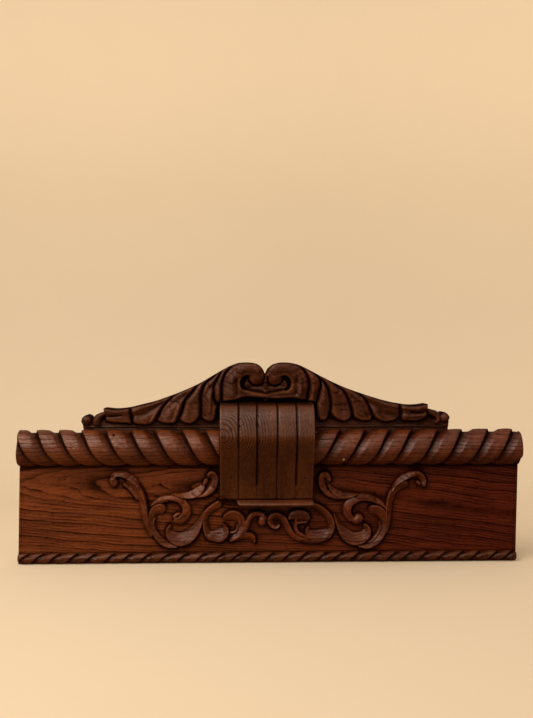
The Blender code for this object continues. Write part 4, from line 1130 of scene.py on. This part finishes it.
# -------------------------------------------------------------------- scrolls
# Each strand: its top height; lip, + or - for the side (left or right of travel)
# that stands high, 0 for round; its run of (x, z, half width).  Where lip is None
# the run carries it as a fourth number.
SCROLLS = {
    "left_outer": [
        (8.6, -0.5, [(-163.5, 79, 0.6), (-155, 85.5, 3.2), (-144.5, 89, 4),
                     (-133.5, 89, 4), (-124, 86, 4.6), (-117.5, 79.5, 5.4),
                     (-115, 71.5, 6), (-117.5, 63.5, 6.4), (-124, 58.5, 5.6),
                     (-129, 58, 4.4)]),
        (7.8, -1, [(-163.5, 78, 0.6), (-157, 82.6, 1.9), (-148, 84.6, 1.4),
                   (-140, 85, 0.7)]),
        (6.2, 0, [(-131.5, 63.5, 3), (-128.5, 66.5, 2.4), (-124.5, 67.5, 1.6)]),
        (7.8, -0.8, [(-150.8, 74.5, 7.4), (-157, 72.5, 6.6), (-161.5, 66.5, 4.8),
                     (-162.5, 58.5, 4.6), (-160.5, 49, 4.6), (-156, 39.5, 4.6),
                     (-149, 31, 4.6), (-140.5, 26, 4.4), (-129.5, 24.2, 2.8)]),
        (6.8, -0.6, [(-157.5, 62, 1), (-159.6, 55, 1.7), (-157.3, 45.8, 1.9),
                     (-149.6, 34.8, 2), (-140.5, 28, 1.6)]),
        (8.8, 1, [(-91.5, 70.5, 1), (-95, 62, 2.6), (-100, 51, 5), (-107.5, 41, 7.6),
                  (-117.5, 34, 8.8), (-127.5, 33, 8.8), (-135.5, 38, 7),
                  (-139, 44.5, 4.4), (-137, 50.5, 2.6)]),
        (9.0, -1, [(-134.5, 94.5, 1), (-124, 93, 3), (-113.5, 92.5, 4.6),
                   (-105.5, 94.5, 5.6), (-98.5, 99, 5.6), (-94.5, 104, 4)]),
        (8.4, -0.6, [(-101, 91, 1.5), (-91, 94, 3.6), (-83, 100, 4.8), (-77.8, 108, 5),
                     (-77.2, 116, 5), (-81, 121, 4.6), (-85, 119, 3.6)]),
        (4.6, 0, [(-89, 112, 3.4), (-92, 106.5, 2.6)]),
        (8.0, -0.8, [(-163, 38, 2), (-167, 46, 3.4), (-170.5, 57, 4.4), (-172.5, 70.5, 5),
                     (-174, 82.5, 5.2), (-178.5, 95, 5.6), (-185, 105, 5.2),
                     (-193, 112, 4)]),
        (8.4, 0, [(-166.5, 52, 0.9), (-168.6, 66, 1.7), (-170.5, 80, 1.7),
                  (-174.5, 93, 1.8), (-181.5, 104, 1.6)]),
        (9.0, 0.95, [(-178, 101, 2.4), (-184, 110, 4.2), (-191, 117, 5),
                     (-199.5, 121, 4.6), (-207.5, 122, 4), (-213.5, 120, 4),
                     (-215.5, 115.5, 4)]),
        (9.4, 0, [(-214.6, 113.6, 5.2), (-213, 110, 5.8)]),
        (7.2, -0.9, [(-199.5, 108.5, 2), (-192, 104.5, 3.6), (-185.5, 97.5, 4),
                     (-180.5, 89.5, 3.5)])],
    "left_inner": [
        (7.8, -0.85, [(-72.5, 79.5, 4.8), (-79, 75.5, 4.8), (-86, 70, 4.4),
                      (-89.4, 63.5, 4), (-89.8, 54, 4), (-88, 44.5, 4.6),
                      (-83.5, 37.5, 5.6), (-75.5, 35, 5.8)]),
        (8.8, -1, [(-82, 39, 5), (-75, 37, 8), (-69, 38.5, 8.6), (-64.5, 42.5, 6.4),
                   (-63.2, 47.5, 3.6), (-65, 51.5, 1.8)]),
        (8.2, 0.9, [(-61.5, 62.6, 4.4), (-55.5, 64.6, 6.6), (-48.5, 64, 7),
                    (-42.5, 59.5, 6), (-41, 52.5, 4.9), (-43.5, 45, 4.6),
                    (-48.5, 38, 4.2), (-55, 31.5, 2.4)]),
        (5.2, 0, [(-47, 51, 1.4), (-46.4, 47, 2.2), (-49.5, 42.5, 2.6),
                  (-56, 41.5, 1.6)]),
        (8.0, 0.35, [(-55.5, 30.5, 1.5), (-47, 34, 2.6), (-40, 40.5, 4),
                     (-35, 48.5, 4.2), (-31.5, 57.5, 4), (-27, 64.5, 3.8),
                     (-21, 67, 3.8), (-14.5, 65.5, 4), (-11, 61, 4.6)]),
        (9.4, 0, [(-12.6, 60, 5.2), (-13.2, 56.5, 5.8)]),
        (7.0, 0.8, [(-43.5, 34, 2.4), (-35.5, 37, 4.2), (-28.5, 36.4, 4.4),
                    (-24.5, 32.5, 2.6), (-23.8, 28.5, 1.4)])],
    "right_inner": [
        (7.8, 0.75, [(9.5, 51.5, 2), (6, 48.8, 2.8), (1.6, 50.6, 3.4), (-1.6, 55, 4),
                     (-1.6, 60, 4), (2.4, 64, 3.8), (9, 64.4, 3.8), (15.5, 60, 4.2),
                     (20, 52, 4.2), (24, 43.5, 4), (30, 36, 3.8), (39.5, 31, 3.4),
                     (50.5, 28, 2.8), (62.5, 27.5, 2)]),
        (7.2, 0.35, [(24.5, 60.5, 2.6), (29.5, 64.5, 6), (36, 65.4, 7.6), (43, 64.4, 7),
                     (48.2, 61.2, 4.2)]),
        (6.8, 0.6, [(47.5, 56, 1.8), (39, 55.4, 2.3), (33, 54.4, 2.8), (32.2, 47.5, 2.7),
                    (35, 40.5, 3.2), (42.5, 35.5, 3.8), (52, 30.5, 3.2)]),
        (7.9, 0.85, [(57.5, 77.5, 4), (65.5, 73.5, 4.4), (73.5, 67, 4.6),
                     (79.5, 59.5, 4.6), (81.5, 50, 4.6), (79, 42, 4.9), (73, 35.5, 5.2),
                     (64, 32.5, 5.5)]),
        (8.8, 1, [(74, 41, 5.5), (68, 37.5, 8), (59.5, 36.5, 8.2), (52.5, 39, 6),
                  (49.5, 43.5, 3.6), (50.5, 48, 2)]),
        (5.0, 0, [(33.5, 60, 2.4), (33.2, 56, 2.4), (33, 51, 2.4)])],
    "right_outer": [
        (8.6, 0.6, [(157, 72.5, 1.2), (151, 79.5, 3.2), (142.5, 84.5, 4), (132.5, 88, 5),
                    (122, 89, 5.4), (111, 85, 6), (104, 78, 6), (102.5, 69, 5.5),
                    (106.5, 60.5, 5), (112, 57, 4)]),
        (10.8, 0, [(115.2, 57.8, 6.2), (118, 60.4, 6.8)]),
        (7.9, 0.85, [(138.5, 71.5, 6.6), (145.5, 70, 7), (151.5, 64, 6.5),
                     (153.5, 55, 5.2), (152, 45.5, 5), (148, 36, 4.9), (141, 28, 4.8),
                     (131, 22.8, 4.2), (120, 23.2, 2.8)]),
        (6.4, 0.6, [(146.5, 55, 0.9), (147.4, 48, 1.5), (144.2, 39.5, 1.8),
                    (137.5, 31.5, 1.8), (131, 27, 1.3)]),
        (8.8, -1, [(85.5, 65.5, 1), (88.5, 58, 2.6), (93.5, 48, 4.6), (101, 38.5, 7.5),
                   (110.5, 32.4, 8.8), (120.5, 33, 8.4), (128, 38, 6.8), (130, 45, 4.6),
                   (127, 50, 2.8)]),
        (9.0, 1, [(116.5, 93.5, 1), (107.5, 92, 3.5), (98, 91.5, 4.8), (90, 94, 4.8),
                  (83, 99, 3.4), (78.5, 104.5, 2.6)]),
        (8.6, 0.6, [(94, 88, 2), (84.5, 90.5, 3.5), (75.5, 95.5, 4.2), (69.8, 103, 4.6),
                    (67.4, 111, 4.6), (69.2, 117.8, 5), (74.5, 118.5, 4.2),
                    (78, 112.5, 2.8)]),
        (7.8, 0.8, [(157, 40, 1.2), (160.5, 52, 2.4), (161.2, 66.5, 3), (161.4, 78, 3.6),
                    (163.6, 89, 4.2), (168, 98, 4.6), (174.5, 103.4, 4.9),
                    (181.5, 106, 5.2)]),
        (7.6, 0, [(156.5, 62, 0.9), (156.8, 74, 1.6), (158.2, 86, 1.7), (162, 97, 1.6)]),
        (9.2, None, [(163, 97, 1.6, -1), (169, 107, 2.6, -1), (177, 113.4, 4, -1),
                     (186.5, 118.6, 4.6, -0.8), (196, 120.6, 4.4, 0.2),
                     (203, 117.6, 4.4, 0.8), (207, 111, 4, 0.8), (207, 105.5, 3.2, 0.6)]),
        (7.0, 0, [(199.4, 108.8, 2.6), (201.8, 106.6, 2.6)])],
}


def strand_profile(high, lip, radial, side):
    """Height of a strand from its section: a scoop with one high lip."""
    share = side * np.where(lip == 0, 1.0, np.sign(lip))
    amount = 0.68 * np.abs(lip)
    inner = unit(radial)
    slope = ((share + 1) / 2) ** 1.7
    wall = np.sqrt(unit((1.0 - inner) / 0.16))
    lipped = (0.09 + 0.91 * slope) * (0.55 + 0.45 * wall)
    domed = 0.34 + 0.66 * np.sqrt(unit(1 - inner ** 2.2))
    return high * (amount * lipped + (1 - amount) * domed)


def painted_shade_grime_round_scrolls(x, z):
    """Painted shadow and dirt round each strand, heaviest in the corner under its steep side.
    """
    total = np.zeros(x.shape)
    reach = 12.0
    for strands in SCROLLS.values():
        for _, lip, run in strands:
            gap, side, _, carried = stroke_field(x, z, run, step=1.2, margin=reach)
            lip = carried if lip is None else lip
            steep = 0.22 + 0.78 * smooth(-0.3, 0.5, side * lip)
            away = np.maximum(gap, 0)
            near = (bell(away, 1.9) + 0.48 * bell(away, 5.5)) * steep \
                + 0.30 * bell(away, 7.0)
            total = np.maximum(total, np.where(gap < reach, near, 0.0))
    return total


def scroll(key):
    strands = SCROLLS[key]
    points = np.array([point[:2] for _, _, run in strands for point in run])
    low, high = points.min(axis=0) - 12, points.max(axis=0) + 12
    x, z = np.meshgrid(*(np.arange(low[k], high[k], 0.40) for k in (0, 1)))
    noise = Noise(70 + len(key) + len(strands))
    sdf = np.full(x.shape, 1e3)
    proud = np.zeros(x.shape)
    bend = 0.30 * noise(x / 6, z / 6, 2)
    for top, lip, run in strands:
        gap, side, radial, carried = stroke_field(x, z, run)
        gap = gap + bend
        height = strand_profile(top, carried if lip is None else lip, radial, side)
        proud = np.maximum(proud, np.where(gap < 0.7, height, 0.0))
        sdf = np.minimum(sdf, gap)
    mask = sdf < 1.0
    proud = blur(np.maximum(proud, 0.6), mask, 0.7)
    proud = proud + 0.08 * noise(x / 1.9, z / 1.9, 2) + 0.14 * noise(x / 5.0, z / 2.2)
    wide = blur(proud, mask, 5.0)
    # painted shade in the hollows, which lie below their surroundings
    painted_shade_dirt = unit((wide - proud) / 1.5) * 0.85
    wear = unit((proud - wide) / 1.3)
    obj = relief(f"scroll_{key}_carved", x, z, sdf, proud, painted_shade_dirt, wear, FACE, FACE, sharp=50)
    finish(obj, SCROLL_OAK, f"scroll_{key}")


# ------------------------------------------------------------- back and metal
def batten(side):
    """Planed upright batten on the back, lofted up z."""
    (x0, x1), (y0, y1), (z0, z1) = box_mm(f"back_batten_{side}")
    noise = Noise(90 + len(side))
    x = np.linspace(x0, x1, 26)
    round_off = 1.1 * arris(np.minimum(x - x0, x1 - x), 1.4)
    rings = []
    for z in spaced(z0, z1, (0, 0.4, 1.2, 2.4), 120):
        inset = arris(min(z - z0, z1 - z), 1.3)
        plane = 0.12 * noise(x / 9, z / 60) + 0.05 * noise(x / 2.0, z / 14)
        rear_y = y1 - round_off - inset - np.abs(plane)
        ring_x = np.clip(x, x0 + inset, x1 - inset)
        rings.append([(at_x, y0, z) for at_x in ring_x]
                     + [(at_x, y, z) for at_x, y in zip(ring_x[::-1], rear_y[::-1])])
    obj = loft(f"batten_{side}_planed", np.array(rings), {}, sharp=40, upward=True)
    finish(obj, BARE_OAK, f"back_batten_{side}")


def slotted_screw(node):
    """Screw driven from behind: slotted head at +y, thread towards -y."""
    low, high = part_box(node)
    centre_x, centre_z = (low.x + high.x) * 500, (low.z + high.z) * 500
    head, tip = high.y * 1000, low.y * 1000
    slot_half_width, slot_depth, turns = 0.62, 1.1, 9
    thread = (head - tip) - 15.0
    # (radius, y) from the middle of the head to the tip
    profile = [(0.0, head)]
    profile += [(r, head - 0.05) for r in (0.5, 1.0, 1.5, 2.0, 2.5, 3.0, 3.5, 3.9)]
    profile += [(4.12, head - 0.25), (4.18, head - 0.55), (3.6, head - 1.2),
                (2.6, head - 2.2), (2.0, head - 3.0), (2.0, head - 12.0)]
    for k in range(turns):
        y = head - 12.0 - thread * (k + 0.25) / turns
        profile += [(1.55, y), (2.05, y - 0.35 * thread / turns)]
    profile += [(1.3, tip + 2.2), (0.0, tip)]
    around = 40
    slot_angle = math.radians((centre_x * 7 + centre_z * 13) % 180)
    verts, faces, previous = [], [], None
    for k, (radius, y) in enumerate(profile):
        count = 1 if radius == 0.0 else around
        here = range(len(verts), len(verts) + count)
        for i in range(count):
            turn = 2 * math.pi * i / around
            dx, dz = radius * math.cos(turn), radius * math.sin(turn)
            across = -math.sin(slot_angle) * dx + math.cos(slot_angle) * dz
            in_slot = k < 10 and abs(across) < slot_half_width
            verts.append((centre_x + dx, y - slot_depth if in_slot else y, centre_z + dz))
        for i in range(around if previous else 0):
            j = (i + 1) % around
            if len(previous) == 1:
                faces.append((previous[0], here[j], here[i]))
            elif len(here) == 1:
                faces.append((previous[i], previous[j], here[0]))
            else:
                faces.append((previous[i], previous[j], here[j], here[i]))
        previous = here
    name = f"{node}_slotted"
    obj = new_object(name, new_mesh(name, np.array(verts), faces, {}), sharp=35)
    finish(obj, IRON, node)


def plain_fixings():
    """CAD pieces that are still shown: the dowels are oak, the rest iron."""
    for node, obj in frame["nodes"].items():
        if obj.hide_render:
            continue
        obj.data.materials.clear()
        obj.data.materials.append(BARE_OAK if "dowel" in node else IRON)


frieze_board()
ropes()
corbel()
foot_fillet()
crest()
for key in SCROLLS:
    scroll(key)
for side in ("left", "centre", "right"):
    batten(side)
for node in sorted(n for n in frame["nodes"] if n.startswith("batten_screw")):
    slotted_screw(node)
plain_fixings()


# ------------------------------------------------------------ stage, in metres
def paper():
    """Pale paper with a faint glow; the camera sees through its back."""
    t = Tree(bpy.data.materials.new("paper"))
    coord = t.coordinates()
    fibre = t.noise(coord, scale=9.0, detail=5.0, rough=0.6)
    tone = t.noise(coord, scale=1.3)
    body = t.mix(t.ease(fibre, over=(0.3, 0.7), to=(0.0, 0.12)), (0.515, 0.440, 0.328),
                 (0.475, 0.402, 0.298))
    body = t.mix(t.ease(tone, over=(0.3, 0.7), to=(0.0, 0.10)), body, (0.545, 0.470, 0.358))
    t.surface("Base Color", body)
    t.surface("Roughness", 0.9)
    t.surface("Specular IOR Level", 0.1)
    # the glow grows backwards, upwards and to the right
    x, y, z = t.split(coord)
    t.surface("Emission Color", t.mix(1.0, body, (1.0, 0.84, 0.66), "MULTIPLY"))
    glow = t.plus(t.ease(y, over=(0.3, 1.4), to=(0.13, 0.23)),
                  t.ease(z, over=(0.28, 1.20), to=(0.0, 0.48)))
    glow = t.plus(glow, t.ease(x, over=(0.0, 1.0), to=(0.0, 0.16)))
    t.surface("Emission Strength", glow)
    face = t.add("ShaderNodeNewGeometry").outputs["Backfacing"]
    path = t.add("ShaderNodeLightPath").outputs["Is Camera Ray"]
    t.mix_output(t.times(face, path), t.nodes["Principled BSDF"].outputs[0],
                 t.add("ShaderNodeBsdfTransparent").outputs[0], "Material Output")
    return t.owner


def paper_sweep():
    """Floor that bends up into a wall behind the pediment."""
    material = paper()
    half_width, floor_front, bend_y, bend_radius, wall = 2.6, -2.2, 0.55, 0.75, 2.2
    profile = [(floor_front + (bend_y - floor_front) * k / 29, 0.0) for k in range(30)]
    for k in range(1, 25):
        turn = math.pi / 2 * k / 24
        profile.append((bend_y + bend_radius * math.sin(turn),
                        bend_radius - bend_radius * math.cos(turn)))
    for k in range(1, 12):
        profile.append((bend_y + bend_radius, bend_radius + wall * k / 11))
    verts = [(x, y, z) for y, z in profile for x in (-half_width, half_width)]
    faces = [(a, a + 1, a + 3, a + 2) for a in range(0, 2 * len(profile) - 2, 2)]
    mesh = bpy.data.meshes.new("paper_sweep")
    mesh.from_pydata(verts, [], faces)
    obj = new_object("paper_sweep", mesh)
    mesh.materials.append(material)
    obj.visible_glossy = False


def world():
    """Big soft light from the front and above, dark below the horizon."""
    studio = bpy.data.worlds.new("studio")
    bpy.context.scene.world = studio
    t = Tree(studio)
    x, y, z = t.split(t.coordinates("Generated"))
    up = t.ease(z, over=(0.10, 0.26), to=(0.012, 1.0))
    front = t.ease(y, over=(-0.10, 0.45), to=(1.0, 0.30))
    side = t.ease(x, over=(-0.9, 0.9), to=(1.25, 0.55))
    level = t.times(t.times(up, front), side)
    flute_shade = t.mix(t.ease(z, over=(-0.1, 0.15)), (1.0, 0.70, 0.42), (1.0, 0.84, 0.70))
    light = t.nodes["Background"]
    gain = 1.25
    t.put(light.inputs[0], flute_shade)
    t.put(light.inputs[1], t.times(level, gain))
    # what the camera sees past the sweep is the same pale paper tone
    seen = t.add("ShaderNodeBackground")
    t.put(seen.inputs[0], (0.78, 0.57, 0.35))
    path = t.add("ShaderNodeLightPath").outputs["Is Camera Ray"]
    t.mix_output(path, light.outputs[0], seen.outputs[0], "World Output")


def soft_light():
    """Square area light from the upper left, in front of the pediment."""
    place, aim, size = Vector((-0.80, -0.85, 1.20)), Vector((0.0, 0.0, 0.14)), 1.5
    light = bpy.data.lights.new("soft_left", "AREA")
    light.shape = "RECTANGLE"
    light.size = light.size_y = size
    light.energy = 27.0
    light.color = (1.0, 0.86, 0.72)
    obj = bpy.data.objects.new("soft_left", light)
    bpy.context.scene.collection.objects.link(obj)
    obj.location = place
    obj.rotation_euler = (aim - place).to_track_quat("-Z", "Y").to_euler()


def camera():
    """Level camera in front, turned a little to the right."""
    yaw = math.radians(2.0)
    data = bpy.data.cameras.new("camera")
    data.lens = 46.63
    data.sensor_width = 36.0
    data.clip_end = 20.0
    obj = bpy.data.objects.new("camera", data)
    bpy.context.scene.collection.objects.link(obj)
    obj.location = (-0.05126, -1.27598, 0.277)
    obj.rotation_euler = (math.pi / 2, 0.0, -yaw)
    bpy.context.scene.camera = obj


paper_sweep()
world()
soft_light()
camera()
bpy.context.scene.view_settings.view_transform = "Standard"
bpy.context.scene.view_settings.look = "None"
